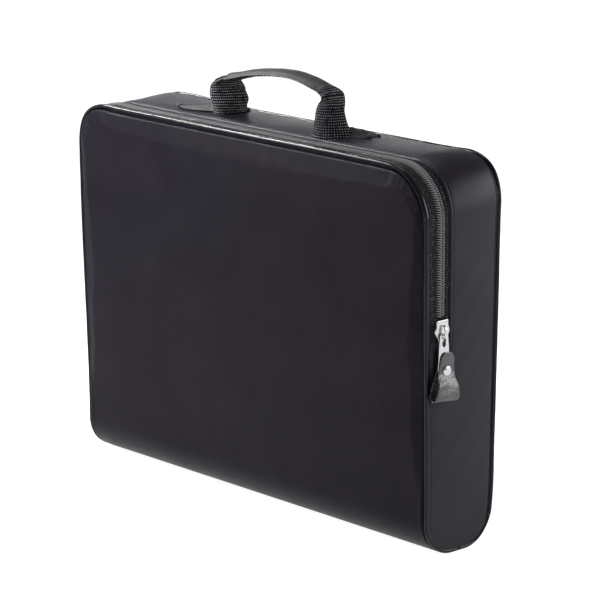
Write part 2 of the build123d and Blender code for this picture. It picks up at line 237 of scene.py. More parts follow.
def bead_cells(rows):
    """Faces of a small six-sided bead: the quads between its rows of points, and two over each end."""
    cells = quad_cells(rows, BEAD_SIDES, wrap=True)
    around = cells[..., 0] * BEAD_SIDES + cells[..., 1] % BEAD_SIDES
    cap = np.array([[1, 2, 3, 0], [3, 4, 5, 0]])
    return np.concatenate([around, cap, cap[:, ::-1] + BEAD_SIDES * (rows - 1)])


def whole_turn(count):
    """Angles evenly round a circle."""
    return np.linspace(0, 2 * np.pi, count, endpoint=False)


def oval(square, count):
    """Section of count points within -1 to 1: a superellipse, round at square 1 and a square at 0."""
    c, s = np.cos(whole_turn(count)), np.sin(whole_turn(count))
    return np.sign(c) * np.abs(c) ** square, np.sign(s) * np.abs(s) ** square


def unit(vectors):
    return vectors / np.linalg.norm(vectors, axis=-1, keepdims=True)


def ripple(place, seed, waves=9, shortest=0.012, longest=0.09):
    """Smooth uneven noise along a length: a seeded sum of sines, about -1 to 1."""
    draw = np.random.default_rng(seed)
    size = np.exp(draw.uniform(math.log(shortest), math.log(longest), waves))
    phase = draw.uniform(0, 2 * np.pi, waves)
    total = sum(np.sin(2 * np.pi * place / w + p) * w**0.5 for w, p in zip(size, phase))
    return total / np.sqrt(np.sum(size) / 2) / 2


def spline(points, t):
    """Catmull-Rom curve through points (n, ...) at places t from 0 to n - 1."""
    p = np.array(points, float)
    p = np.concatenate([[2 * p[0] - p[1]], p, [2 * p[-1] - p[-2]]])
    k = np.minimum(t.astype(int), len(p) - 4)
    t = (t - k).reshape(-1, *[1] * (p.ndim - 1))
    a, b, c, d = p[k], p[k + 1], p[k + 2], p[k + 3]
    return 0.5 * (2 * b + (c - a) * t + (2 * a - 5 * b + 4 * c - d) * t**2 + (3 * b - a - 3 * c + d) * t**3)


def curve_through(points, count):
    """Smooth line through a few points, evenly divided."""
    line = spline(points, np.linspace(0, len(points) - 1, 40 * len(points)))
    run = lengths(line)
    return at_places(np.linspace(0, run[-1], count), run, line)


# ---------------------------------------------------------------- the case's own lines
def arch(depth, low, step):
    """Path up the right side, round both top corners and down the left side, depth below the outline.
    Gives places with y = 0, outward normals and distances: straight, quarter turn, straight, quarter turn."""
    radius = CORNER - depth
    side, across = TOP - CORNER - low, 2 * (HALF_W - CORNER)
    quarter = radius * math.pi / 2
    total = 2 * (side + quarter) + across
    s = np.linspace(0, total, round(total / step) + 1)
    turn = np.clip((s - side) / radius, 0, math.pi / 2)
    turn += np.clip((s - side - quarter - across) / radius, 0, math.pi / 2)
    x = HALF_W - CORNER - np.clip(s - side - quarter, 0, across) + radius * np.cos(turn)
    z = low + np.clip(s, 0, side) + radius * np.sin(turn) - np.clip(s - total + side, 0, side)
    zero = np.zeros_like(s)
    return np.stack([x, zero, z], -1), np.stack([np.cos(turn), zero, np.sin(turn)], -1), s


def well(inset, count):
    """Half of the rounded bottom, from its middle outwards: distance from the middle plane, and height.
    It is flat, then a quarter circle."""
    radius = WELL_R - inset
    flat = HALF_D - WELL_R
    s = np.linspace(0, flat + radius * math.pi / 2, count)
    turn = np.clip((s - flat) / radius, 0, math.pi / 2)
    return np.clip(s, 0, flat) + radius * np.sin(turn), inset + radius * (1 - np.cos(turn))


def edge_loop(sign):
    """Centre line of the front (-1) or back (1) half of the piping, with outward normals: from the middle of
    the right rounded end, up, over the top, down and in to the middle of the left rounded end."""
    y, z = well(PIPING_INSET, 26)
    side = HALF_W - PIPING_INSET
    right = np.stack([np.full_like(y, side), sign * y, z], -1)
    over, normal, s = arch(PIPING_INSET, WELL_R, 3 * MM)
    over[:, 1] = sign * (HALF_D - PIPING_INSET)
    left = right[::-1] * (-1, 1, 1)
    out = np.zeros_like(right) + (1, 0, 0)
    return np.concatenate([right, over[1:-1], left]), np.concatenate([out, normal[1:-1], -out])


def inside_distance(x, z):
    """How far a point of the front view lies inside the outline of sides, top and top corners."""
    ax = np.abs(x)
    dx, dz = ax - (HALF_W - CORNER), z - (TOP - CORNER)
    round_part = CORNER - np.hypot(np.maximum(dx, 0), np.maximum(dz, 0))
    straight = np.minimum(HALF_W - ax, TOP - z)
    return np.where((dx > 0) & (dz > 0), round_part, straight)


# ---------------------------------------------------------------- shader maths
class Value:
    """A number socket that takes part in sums."""

    def __init__(self, paint, socket):
        self.paint, self.socket = paint, socket

    def __add__(self, other):
        return self.paint.math("ADD", self, other)

    __radd__ = __add__

    def __sub__(self, other):
        return self.paint.math("SUBTRACT", self, other)

    def __rsub__(self, other):
        return self.paint.math("SUBTRACT", other, self)

    def __mul__(self, other):
        return self.paint.math("MULTIPLY", self, other)

    __rmul__ = __mul__

    def sine(self):
        return self.paint.math("SINE", self)

    def wave(self, pitch, shift=0.0):
        """0 to 1 and back over each pitch."""
        return (self * (2 * math.pi / pitch) + shift).sine() * 0.5 + 0.5

    def larger(self, other):
        return self.paint.math("MAXIMUM", self, other)

    def step(self, low, high):
        """0 below low, 1 above high."""
        return self.paint.out(
            "ShaderNodeMapRange",
            {"interpolation_type": "SMOOTHSTEP"},
            {"Value": self, "From Min": low, "From Max": high},
        )


class Paint:
    """A material under construction round one Principled shader."""

    def __init__(self, name, **sockets):
        self.material = bpy.data.materials.new(name)
        self.material.use_nodes = True
        self.tree = self.material.node_tree
        self.shader = next(n for n in self.tree.nodes if n.type == "BSDF_PRINCIPLED")
        for key, value in sockets.items():
            self.set(key.replace("_", " ").title().replace("Ior", "IOR"), value)

    def set(self, socket, value):
        self.give(self.shader.inputs[socket], value)
        return self

    def give(self, socket, value):
        """A link if value comes from a node, or else the socket's own value."""
        if isinstance(value, Value):
            self.tree.links.new(value.socket, socket)
        elif hasattr(value, "__len__") and len(value) == 3 and socket.type == "RGBA":
            socket.default_value = (*value, 1.0)
        else:
            socket.default_value = value

    def node(self, kind, settings=None, inputs=None):
        made = self.tree.nodes.new(kind)
        for key, value in (settings or {}).items():
            setattr(made, key, value)
        for key, value in (inputs or {}).items():
            self.give(made.inputs[key], value)
        return made

    def out(self, kind, settings=None, inputs=None, output=0):
        return Value(self, self.node(kind, settings, inputs).outputs[output])

    def math(self, operation, *values):
        return self.out("ShaderNodeMath", {"operation": operation}, dict(enumerate(values)))

    def place(self):
        return self.out("ShaderNodeTexCoord", output="Object")

    def run(self):
        """The piece's own lengthwise and crosswise distances, in metres."""
        return self.out("ShaderNodeUVMap", {"uv_map": "length"})

    def split(self, vector):
        made = self.node("ShaderNodeSeparateXYZ", inputs={0: vector})
        return [Value(self, made.outputs[k]) for k in range(3)]

    def stretched(self, vector, scale):
        return self.out("ShaderNodeMapping", inputs={"Vector": vector, "Scale": scale})

    def noise(self, vector, size, detail=3.0, roughness=0.5):
        inputs = {"Vector": vector, "Scale": 1 / size, "Detail": detail, "Roughness": roughness}
        return self.out("ShaderNodeTexNoise", inputs=inputs)

    def cells(self, vector, size, feature="F1"):
        inputs = {"Vector": vector, "Scale": 1 / size}
        return self.out("ShaderNodeTexVoronoi", {"feature": feature}, inputs)

    def mix(self, factor, first, second):
        """Between two colours."""
        return self.out("ShaderNodeMix", {"data_type": "RGBA"}, {0: factor, 6: first, 7: second}, 2)

    def bump(self, height, distance, strength=1.0, under=None):
        inputs = {"Height": height, "Distance": distance, "Strength": strength}
        if under is not None:
            inputs["Normal"] = under
        return self.out("ShaderNodeBump", inputs=inputs)

    def finish(self, shade, dark, light, roughness, height, depth, strength, under=None):
        """Two tones mixed by shade, a roughness, and a relief of a height that varies from 0 to 1."""
        self.set("Base Color", self.mix(shade, dark, light))
        self.set("Roughness", roughness)
        return self.set("Normal", self.bump(height, depth, strength, under)).material


def nylon_cover():
    """Close-woven matte nylon: two crossed thread waves, slubs and soft handling marks."""
    paint = Paint("nylon_cover", specular_ior_level=0.045)
    place = paint.place()
    x, _, z = paint.split(place)
    weave = x.wave(0.62 * MM).larger(z.wave(0.62 * MM))
    slub = paint.noise(paint.stretched(place, (1.0, 1.0, 0.12)), 1.3 * MM)
    mottle = paint.noise(place, 46 * MM, 4.0)
    grain = paint.noise(place, 3.2 * MM, 2.0)
    shade = (mottle * 0.6 + grain * 0.4).step(0.3, 0.72)
    roughness = 0.3 + mottle * 0.14 - weave * 0.04
    drape = paint.bump(paint.noise(place, 24 * MM, 3.0), 1.1 * MM, 0.22)
    return paint.finish(shade, (0.0038, 0.0028, 0.0056), (0.0070, 0.0057, 0.0092), roughness,
                        weave * 0.7 + slub * 0.5, 0.12 * MM, 0.7, drape)


def nylon_gusset():
    """Coated nylon with a satin face: finer weave, smoother, a little paler."""
    paint = Paint("nylon_gusset", specular_ior_level=0.16)
    place = paint.place()
    u, v, _ = paint.split(paint.run())
    weave = u.wave(0.5 * MM).larger(v.wave(0.5 * MM))
    mottle = paint.noise(place, 38 * MM, 4.0)
    grain = paint.noise(place, 1.6 * MM, 2.0)
    return paint.finish(mottle, (0.0068, 0.0052, 0.0096), (0.0120, 0.0098, 0.0152),
                        0.3 + grain * 0.1 + weave * 0.05,
                        weave * 0.6 + grain * 0.6, 0.1 * MM, 0.5, paint.bump(mottle, 1.6 * MM, 0.3))


def piping_vinyl():
    """Glossy vinyl drawn over a cord: faint twist of the cord below, small dimples, rubbed spots."""
    paint = Paint("piping_vinyl", specular_ior_level=0.12, coat_roughness=0.06)
    u, v, _ = paint.split(paint.run())
    place = paint.place()
    twist = (u + v * 0.6).wave(3.4 * MM)
    wear = paint.noise(place, 18 * MM, 4.0).step(0.55, 0.8)
    dimples = paint.noise(place, 1.2 * MM, 2.0)
    paint.set("Coat Weight", 0.12 - wear * 0.1)
    return paint.finish(wear, (0.003, 0.0025, 0.004), (0.009, 0.008, 0.0105), 0.12 + wear * 0.15,
                        twist * 0.5 + dimples * 0.4, 0.12 * MM, 0.5)


def tape_weave():
    """Zipper tape: lengthwise cords and a herringbone between them, with painted highlight: their crests paler
    and pale glints in specks on the cord crests.
    """
    paint = Paint("tape_weave", specular_ior_level=0.05)
    u, v, _ = paint.split(paint.run())
    cords = v.wave(1.25 * MM)
    bone = (u + v.wave(2.5 * MM) * (1.2 * MM)).wave(0.9 * MM)
    cord_glints = paint.noise(paint.run(), 1.4 * MM, 2.0).step(0.57, 0.68)
    # painted highlight: paler on the crests of the cords and the herringbone, with pale glints in specks on the
    # cord crests
    tone = cords * 0.05 + bone * 0.05 + cord_glints * cords
    return paint.finish(tone, (0.004, 0.0035, 0.0055), (0.17, 0.165, 0.175), 0.62 + bone * 0.15,
                        cords * 0.6 + bone * 0.5, 0.3 * MM, 0.8)


def coil_nylon():
    """Moulded coil teeth: smooth dark plastic with a soft gloss and tiny flow marks."""
    paint = Paint("coil_nylon", specular_ior_level=0.5)
    marks = paint.noise(paint.stretched(paint.place(), (1.0, 0.25, 1.0)), 0.8 * MM, 3.0)
    return paint.finish(marks, (0.06, 0.058, 0.064), (0.2, 0.197, 0.205), 0.25 + marks * 0.2,
                        marks, 0.08 * MM, 0.4)


def slider_nickel():
    """Polished nickel: bright, with fine rubbed scratches and duller hollows."""
    paint = Paint("slider_nickel", metallic=1.0)
    place = paint.place()
    scratch = paint.noise(paint.stretched(place, (6.0, 6.0, 0.5)), 1.2 * MM, 4.0, 0.7)
    haze = paint.noise(place, 4 * MM, 3.0)
    return paint.finish(haze, (0.36, 0.36, 0.37), (0.6, 0.6, 0.61), 0.12 + haze * 0.12 + scratch * 0.12,
                        scratch, 0.03 * MM, 0.35)


def pull_hide():
    """Glazed grained leather: pebbled cells, creases and paler rubbed edges."""
    paint = Paint("pull_hide", specular_ior_level=0.6, coat_roughness=0.2)
    place = paint.place()
    pebbles = paint.cells(place, 1.0 * MM, "SMOOTH_F1")
    creases = paint.noise(paint.stretched(place, (1.0, 0.3, 1.0)), 3.0 * MM, 4.0, 0.65)
    rub = paint.noise(place, 7 * MM, 4.0).step(0.45, 0.75)
    paint.set("Coat Weight", 0.3 - rub * 0.2)
    return paint.finish(rub, (0.006, 0.006, 0.007), (0.03, 0.03, 0.032), 0.2 + pebbles * 0.2 + rub * 0.1,
                        pebbles * 0.5 + creases * 0.8, 0.6 * MM, 0.9)


RIB_PITCH = 2.5 * MM


def ribbed_webbing():
    """Heavy webbing: raised ribs across the strap, fine threads along it, and painted highlight: pale glints on
    the crests where ribs and threads meet.
    """
    paint = Paint("ribbed_webbing", specular_ior_level=0.08)
    u, v, _ = paint.split(paint.run())
    ribs = (u + RIB_PITCH / 4).wave(RIB_PITCH)
    threads = (v + u.wave(2 * RIB_PITCH) * (0.8 * MM)).wave(1.7 * MM)
    # painted highlight: pale glints on the rib and thread crests, in patches of a noise
    crest_glints = (ribs * threads).step(0.5, 0.95) * paint.noise(paint.run(), 4 * MM, 2.0).step(0.3, 0.5)
    return paint.finish(crest_glints, (0.006, 0.005, 0.0075), (0.4, 0.4, 0.42), 0.6 + threads * 0.2,
                        ribs * 0.7 + threads * 0.4, 0.7 * MM, 0.9)


def grip_vinyl():
    """Soft vinyl of the hand grip: fine pores, stretch lines and a polished ridge."""
    paint = Paint("grip_vinyl", specular_ior_level=0.2, coat_roughness=0.3)
    place = paint.place()
    pores = paint.cells(place, 0.7 * MM, "SMOOTH_F1")
    stretch = paint.noise(paint.stretched(place, (0.25, 1.0, 1.0)), 3.5 * MM, 4.0)
    polish = paint.noise(place, 20 * MM, 3.0)
    paint.set("Coat Weight", 0.05 * polish)
    return paint.finish(polish, (0.012, 0.012, 0.014), (0.024, 0.023, 0.026),
                        0.42 + polish * 0.12 + pores * 0.08, pores * 0.4 + stretch * 0.7, 0.3 * MM, 0.5)


def patch_vinyl():
    """Stitched vinyl patch: soft wrinkles over a fine grain."""
    paint = Paint("patch_vinyl", specular_ior_level=0.14)
    place = paint.place()
    grain = paint.cells(place, 0.8 * MM, "SMOOTH_F1")
    wrinkles = paint.noise(paint.stretched(place, (0.5, 1.2, 1.0)), 9 * MM, 5.0, 0.6)
    return paint.finish(wrinkles, (0.005, 0.0045, 0.006), (0.013, 0.012, 0.0145),
                        0.36 + grain * 0.15 + wrinkles * 0.1, grain * 0.25 + wrinkles, 0.6 * MM, 0.6)


def thread():
    """Twisted sewing thread."""
    paint = Paint("thread", specular_ior_level=0.4)
    ply = paint.noise(paint.place(), 0.4 * MM, 2.0)
    return paint.finish(ply, (0.012, 0.012, 0.014), (0.07, 0.07, 0.076), 0.5 + ply * 0.2, ply, 0.1 * MM, 0.6)


def lining_cloth():
    """Thin woven lining."""
    paint = Paint("lining_cloth", specular_ior_level=0.3)
    place = paint.place()
    x, y, z = paint.split(place)
    weave = x.wave(0.9 * MM).larger((z + y).wave(0.9 * MM))
    folds = paint.noise(place, 30 * MM, 4.0)
    return paint.finish(folds, (0.016, 0.016, 0.019), (0.03, 0.03, 0.034), 0.6 + weave * 0.1,
                        weave * 0.4 + folds, 0.3 * MM, 0.5)


def stiff_board():
    """Extruded plastic board inside the walls."""
    paint = Paint("stiff_board", specular_ior_level=0.4)
    drawn = paint.noise(paint.stretched(paint.place(), (0.1, 1.0, 1.0)), 2 * MM, 3.0)
    return paint.finish(drawn, (0.03, 0.03, 0.03), (0.06, 0.06, 0.062), 0.4 + drawn * 0.2,
                        drawn, 0.1 * MM, 0.5)


def foam_sheet():
    """Open-cell foam inside the walls."""
    paint = Paint("foam_sheet", specular_ior_level=0.2)
    place = paint.place()
    tone = paint.noise(place, 12 * MM, 3.0)
    return paint.finish(tone, (0.08, 0.08, 0.085), (0.13, 0.13, 0.135), 0.8 + tone * 0.1,
                        paint.cells(place, 0.9 * MM), 0.5 * MM, 0.8)


MATERIALS = {
    "shell_nylon": nylon_cover(),
    "gusset_nylon": nylon_gusset(),
    "piping_vinyl": piping_vinyl(),
    "zip_tape": tape_weave(),
    "zip_coil": coil_nylon(),
    "slider_metal": slider_nickel(),
    "pull_leather": pull_hide(),
    "webbing": ribbed_webbing(),
    "grip_vinyl": grip_vinyl(),
    "patch_vinyl": patch_vinyl(),
    "lining": lining_cloth(),
    "board": stiff_board(),
    "foam": foam_sheet(),
}
THREAD = thread()


def dress(piece, slot):
    """A new piece's material slot and its look."""
    piece.data.materials.append(MATERIALS[slot])
    return piece


def line_inside(piece, grid):
    """The lining's look on the inner grid of a closed sheet."""
    cells = (grid.shape[0] - 1) * (grid.shape[1] - 1)
    piece.data.materials.append(MATERIALS["lining"])
    side = np.zeros(len(piece.data.polygons), np.int32)
    side[cells:2 * cells] = 1
    piece.data.polygons.foreach_set("material_index", side)


def coat_node(node, slot):
    """The look of a slot on a CAD node that stays in view."""
    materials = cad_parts[node].data.materials
    materials.clear()
    materials.append(MATERIALS[slot])


# ---------------------------------------------------------------- the padded front and back
def graded(length, fine, coarse, reach):
    """Places along a length: fine steps near its start that widen to coarse ones past reach."""
    place = np.linspace(0, length, 4000)
    density = 1 / (fine + (coarse - fine) * smooth_step(reach, 4 * reach, place))
    count = np.cumsum(density) * place[1]
    return np.interp(np.linspace(count[0], count[-1], round(count[-1]) + 1), count, place)


def both_edges(length, fine, coarse, reach):
    """The same from both ends of a length."""
    half = graded(length / 2, fine, coarse, reach)
    return np.concatenate([half, length - half[-2::-1]])


def panel_rows():
    """The panel's section from the middle of the bottom, round the well and up to the top seam: distance
    from the middle plane, height, outward direction (away, up) and half width."""
    y_low, z_low = well(0, 24)
    turn = np.arctan2(np.maximum(y_low - (HALF_D - WELL_R), 0), WELL_R - z_low)
    bend = 12 * MM
    straight = np.concatenate([
        np.linspace(WELL_R, FOLD_Z - bend, 30)[1:],
        np.linspace(FOLD_Z - bend, FOLD_Z + bend, 17)[1:],
        np.linspace(FOLD_Z + bend, TOP - CORNER, 48)[1:],
    ])
    around = np.linspace(0, math.pi / 2, 40)[1:]
    edge = CORNER - PANEL_EDGE
    z = np.concatenate([z_low, straight, TOP - CORNER + edge * np.sin(around)])
    upper = len(z) - len(z_low)
    y = np.concatenate([y_low, np.full(upper, HALF_D)])
    out = np.concatenate([np.stack([np.sin(turn), -np.cos(turn)], -1), np.tile([1.0, 0.0], (upper, 1))])
    low_half = np.full(len(z) - len(around), HALF_W - PANEL_EDGE)
    return y, z, out, np.concatenate([low_half, HALF_W - CORNER + edge * np.cos(around)])


SEAM_SHIFT = 2.6 * MM  # how much nearer the stitched valley runs to the outline beside and below the top
SEAM_DEPTH = 3.4 * MM  # the pad's thickness in the seam


def pad_profile(d):
    """Height of the padding over the outline's plane, by distance from the outline: low at the seam, a
    stitched valley, a rolled edge and then a slow rise. A step and bells on it, and an exponential rise."""
    seam = -1.7 - 0.75 * near(d, 4.6, 1.5)
    roll = 2.3 * smooth_step(5.0, 7.8, d) + 0.45 * near(d, 8.8, 1.8)
    return (seam + roll + 1 - np.exp(-np.maximum(d - 8, 0) / 45)) * MM


def seam_place(x, z):
    """Distance along the outline from the middle of the top, negative to the left."""
    bend = np.arctan2(np.maximum(z - (TOP - CORNER), 0), np.maximum(np.abs(x) - (HALF_W - CORNER), 1e-6))
    turned = HALF_W - CORNER + CORNER * (math.pi / 2 - bend)
    down = np.where(z < TOP - CORNER, HALF_W - CORNER + CORNER * math.pi / 2 + TOP - CORNER - z, turned)
    return np.sign(x) * np.where(np.abs(x) < HALF_W - CORNER, np.minimum(down, np.abs(x)), down)


def relaxed(grid, held, pressure, spare, cap):
    """The grid after a short cloth simulation without gravity: blown out by pressure, with a little spare
    cloth, held where held is true, and no point moved further than cap."""
    rows, columns = grid.shape[:2]
    cells = quad_cells(rows, columns)
    faces = cells[..., 0] * columns + cells[..., 1]
    points = grid.reshape(-1, 3)
    mesh = bpy.data.meshes.new("relaxing")
    mesh.from_pydata(points.tolist(), [], faces.tolist())
    cloth = bpy.data.objects.new("relaxing", mesh)
    bpy.context.scene.collection.objects.link(cloth)
    cloth.vertex_groups.new(name="held").add(np.flatnonzero(held.ravel()).tolist(), 1.0, "REPLACE")
    modifier = cloth.modifiers.new("cloth", "CLOTH")
    settings = modifier.settings
    settings.quality = 5
    settings.mass = 0.3
    settings.tension_stiffness = settings.compression_stiffness = 15
    settings.bending_stiffness = 1.0
    settings.use_pressure = True
    settings.uniform_pressure_force = pressure
    settings.shrink_min = -spare
    settings.effector_weights.gravity = 0
    settings.vertex_group_mass = "held"
    modifier.point_cache.frame_end = 20
    for step in range(1, 21):
        bpy.context.scene.frame_set(step)
    shape = cloth.evaluated_get(bpy.context.evaluated_depsgraph_get()).data
    moved = np.zeros(len(points) * 3, np.float32)
    shape.vertices.foreach_get("co", moved)
    bpy.data.objects.remove(cloth)
    bpy.context.scene.frame_set(1)
    shift = moved.reshape(-1, 3) - points
    length = np.linalg.norm(shift, axis=1, keepdims=True)
    return (points + shift * np.minimum(1, cap / np.maximum(length, 1e-9))).reshape(grid.shape)


def padded_panel(name, sign, seed):
    """Front (-1) or back (1) panel with its half of the bottom: a closed pad, outer cloth and inner lining.
    The flat wrap and the padding's profile, eased as cloth, with tucks gathered at the seam and a slow sway."""
    y, z, out, half = panel_rows()
    edge = HALF_W - PANEL_EDGE
    x = (both_edges(2 * edge, 1.1 * MM, 6 * MM, 16 * MM) / edge - 1)[None] * half[:, None]
    height = np.broadcast_to(z[:, None], x.shape)
    d = inside_distance(x, height)
    flat = np.stack([x, np.broadcast_to(sign * y[:, None], x.shape), height], -1)
    normal = np.zeros_like(flat)
    normal[..., 1], normal[..., 2] = sign * out[:, :1], out[:, 1:]
    upright = smooth_step(0.2 * WELL_R, 1.3 * WELL_R, height)
    beside = np.maximum(smooth_step(TOP - 12 * MM, TOP - 50 * MM, height),
                        smooth_step(HALF_W - 50 * MM, HALF_W - 15 * MM, np.abs(x)))
    rise = pad_profile((d + SEAM_SHIFT * beside) / MM)
    rise = np.minimum(rise, 0) + np.maximum(rise, 0) * upright
    outer = flat + normal * rise[..., None]
    held = (d < 7.5 * MM - SEAM_SHIFT * beside) | (height < 24 * MM)
    eased = relaxed(outer, held, sign * 2.0, 0.0008, 1.6 * MM)
    outer = outer + (eased - outer) * smooth_step(40 * MM, 110 * MM, height)[..., None]
    place = seam_place(x, height)
    gather_share = smooth_step(0.4, 1.2, ripple(place, seed + 1, 5, 0.05, 0.3))
    gather = near(d / MM, 8, 5.0) * (0.16 + 0.2 * gather_share)
    right_edge = smooth_step(180 * MM, HALF_W, x) * smooth_step(100 * MM, 200 * MM, height)
    right_edge = right_edge * smooth_step(330 * MM, 280 * MM, height)
    gather = gather + 0.3 * right_edge * near(d / MM, 9, 6.0)
    tucks = gather * ripple(place + 0.12 * d, seed, 11, 0.006, 0.03)
    sway = 0.5 * ripple(x * 0.8 + height * 0.5, seed + 2, 5, 0.12, 0.5) * smooth_step(10 * MM, 60 * MM, d)
    outer = outer + normal * ((tucks + sway) * upright * MM)[..., None]
    depth = SEAM_DEPTH + (PANEL_THICK - SEAM_DEPTH) * smooth_step(7.5 * MM, 11 * MM, d)
    panel = dress(shell_piece(name, outer, flat - normal * depth[..., None]), "shell_nylon")
    line_inside(panel, outer)
    return panel


LAYER_NAMES = ("cover", "foam", "board", "lining")


def layers(*zones):
    return [f"{zone}_{layer}" for zone in zones for layer in LAYER_NAMES]


def make_panels():
    front = padded_panel("front_panel", -1, 11)
    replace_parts(front, *layers("front", "flap", "bottom"))
    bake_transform(front)
    back = padded_panel("back_panel", 1, 31)
    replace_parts(back, *layers("back"))
    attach(back, "case")


# ---------------------------------------------------------------- piping
def piping(name, sign, seed):
    """Cord piping round one edge: a round section carried along the seam, a little uneven in thickness."""
    line, normal = edge_loop(sign)
    run = lengths(line)
    even = np.linspace(0, run[-1], round(run[-1] / (2.2 * MM)))
    line, normal = at_places(even, run, line), unit(at_places(even, run, normal))
    along = unit(np.gradient(line, axis=0))
    normal = unit(normal - along * np.sum(normal * along, -1, keepdims=True))
    across = np.cross(along, normal)
    turn = whole_turn(20)
    swell = PIPING_R * (1 + 0.035 * ripple(even, seed, 12, 0.008, 0.06))[:, None]
    line = line + (normal * ripple(even, seed + 1, 6, 0.05, 0.3)[:, None] * 0.12 * MM)
    rings = swept_grid(line, across, normal, swell * np.cos(turn), swell * np.sin(turn))
    return dress(tube_piece(name, rings), "piping_vinyl")


def make_piping():
    front = piping("piping_front", -1, 41)
    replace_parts(front, "piping_flap")
    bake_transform(front)
    back = piping("piping_back", 1, 43)
    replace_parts(back, "piping_case")
    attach(back, "case")


# ---------------------------------------------------------------- gusset
GUSSET_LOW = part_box("gusset_right_cover")[0].z
UNDER_PIPING = 0.9 * MM  # how far the gusset's edges run under the piping
GUSSET_REAR = GUSSET_BACK + UNDER_PIPING
SLANT_LOW = FOLD_Z - 4 * MM  # the gusset's front edge leaves the front seam here
HEM_SEAM = 2.8 * MM  # from the hem's edge to its stitches
HEM_THICK = 1.5 * MM


def gusset_front(z):
    """Depth of the gusset's front edge at a height: at the front seam, then slanting back to the zipper."""
    return -GUSSET_REAR + (HEM_Y + GUSSET_REAR) * smooth_step(SLANT_LOW, ZIP_LOW + 6 * MM, z)


def gusset_rise(y, front, top_share, s):
    """Height of the gusset over its seam line: a parabola between the edges, bells below it for the groove
    along the rear piping and the stitched hem in front, and slow ripples. top_share is 1 over the top."""
    v = 2 * (y - front) / (GUSSET_REAR - front) - 1
    crown = SIDE_CROWN + (TOP_CROWN - SIDE_CROWN) * top_share
    from_front, from_back = (y - front) / MM, (GUSSET_REAR - y) / MM
    groove = -1.1 * near(from_back, 2.2, 1.5) - 0.8 * near(from_back, 0, 1.2)
    hem = -0.7 * near(from_front, 0, 0.7) - 0.45 * near(from_front, HEM_SEAM / MM, 0.6)
    loose = 0.55 * ripple(s + 0.5 * y, 51, 7, 0.05, 0.35) + 0.25 * ripple(s - 1.3 * y, 53, 7, 0.03, 0.1)
    return crown * (1 - v * v) + (groove + hem + loose * (1 - v**4)) * MM


def gusset_path():
    """Rows of the gusset: up the right rounded end, over the top and down the left one. Gives places with
    y = 0, outward normals, distances and the half depth of the rounded ends (infinite above them)."""
    edge = WELL_R - GUSSET_LOW + UNDER_PIPING
    turn = np.linspace(0, math.pi / 2, 18)[:-1]
    low = np.stack([np.full_like(turn, HALF_W - GUSSET_DEPTH), 0 * turn, WELL_R - edge * np.cos(turn)], -1)
    over, normal, _ = arch(GUSSET_DEPTH, WELL_R, 3 * MM)
    line = np.concatenate([low, over, low[::-1] * (-1, 1, 1)])
    out = np.zeros_like(low) + (1, 0, 0)
    reach = HALF_D - WELL_R + edge * np.sin(turn)
    reach = np.concatenate([reach, np.full(len(over), np.inf), reach[::-1]])
    return line, np.concatenate([out, normal, -out]), lengths(line), reach


def gusset_grid(drop):
    """The gusset's surface, lowered by drop, a function of the distance from its front edge and rear edge."""
    line, normal, s, reach = gusset_path()
    front = np.maximum(gusset_front(line[:, 2]), -reach)[:, None]
    rear = np.minimum(GUSSET_REAR, reach)[:, None]
    c = both_edges(60 * MM, 0.5 * MM, 2.6 * MM, 4 * MM) / (60 * MM)
    y = front + (rear - front) * c[None]
    top_share = smooth_step(0.3, 1.0, normal[:, 2:]) * smooth_step(-212 * MM, -178 * MM, line[:, :1])
    rise = gusset_rise(y, front, top_share, s[:, None])
    low_end = smooth_step(GUSSET_LOW, 2 * WELL_R, line[:, 2:])
    rise = np.minimum(rise, rise * low_end) - drop(y - front, rear - y)
    grid = line[:, None] + normal[:, None] * rise[..., None]
    grid[..., 1] = y
    return grid


def hem_inside(from_front, from_back):
    """Thickness of the gusset: thin at the hem and under the piping, full between."""
    from_edge = np.minimum(from_front, from_back)
    return HEM_THICK + (GUSSET_THICK - HEM_THICK) * smooth_step(4 * MM, 7 * MM, from_edge)


GUSSET_LAYERS = ("cover", "board", "lining")
GUSSET_NODES = [f"gusset_{zone}_{layer}" for zone in ("left", "right", "top") for layer in GUSSET_LAYERS]


def stitches(name, line, normal, pitch, length, radius, body):
    """A row of thread stitches along a line: small capsules that dip in at both ends, by a parabola."""
    run = lengths(line)
    at = np.arange(pitch, run[-1] - pitch, pitch)
    origin = at_places(at, run, line)
    along = unit(at_places(at + 0.3 * pitch, run, line) - origin)
    out = at_places(at, run, normal)
    out = unit(out - along * np.sum(out * along, -1, keepdims=True))
    t = np.array([-1.0, -0.75, 0.0, 0.75, 1.0])[:, None]
    turn = whole_turn(BEAD_SIDES)[None]
    size = radius * np.sqrt(np.clip(1 - t**2, 0.02, 1))
    dip = 0.5 * radius * t**2
    rings = np.stack([t * length / 2 + 0 * turn, size * np.cos(turn), size * np.sin(turn) - dip], -1)
    axes = np.stack([along, np.cross(out, along), out], 1)
    piece = repeated_piece(name, rings.reshape(-1, 3), bead_cells(len(t)), origin, axes)
    piece.data.materials.append(THREAD)
    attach(piece, body)


def make_gusset():
    outer = gusset_grid(lambda from_front, from_back: 0.0)
    band = dress(shell_piece("gusset_band", outer, gusset_grid(hem_inside)), "gusset_nylon")
    line_inside(band, outer)
    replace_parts(band, *GUSSET_NODES)
    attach(band, "case")
    line, normal, _, _ = gusset_path()
    upper = line[:, 2] > ZIP_LOW + 8 * MM
    column = int(np.argmin(np.abs(outer[len(line) // 2, :, 1] - HEM_Y - HEM_SEAM)))
    stitches("hem_stitches", outer[upper, column], normal[upper], 3.4 * MM, 2.5 * MM, 0.32 * MM, "case")


# ---------------------------------------------------------------- zipper
TAPE_THICK = 0.8 * MM
CHAIN_HALF = 0.9 * MM  # the tapes stop this far from the chain's middle


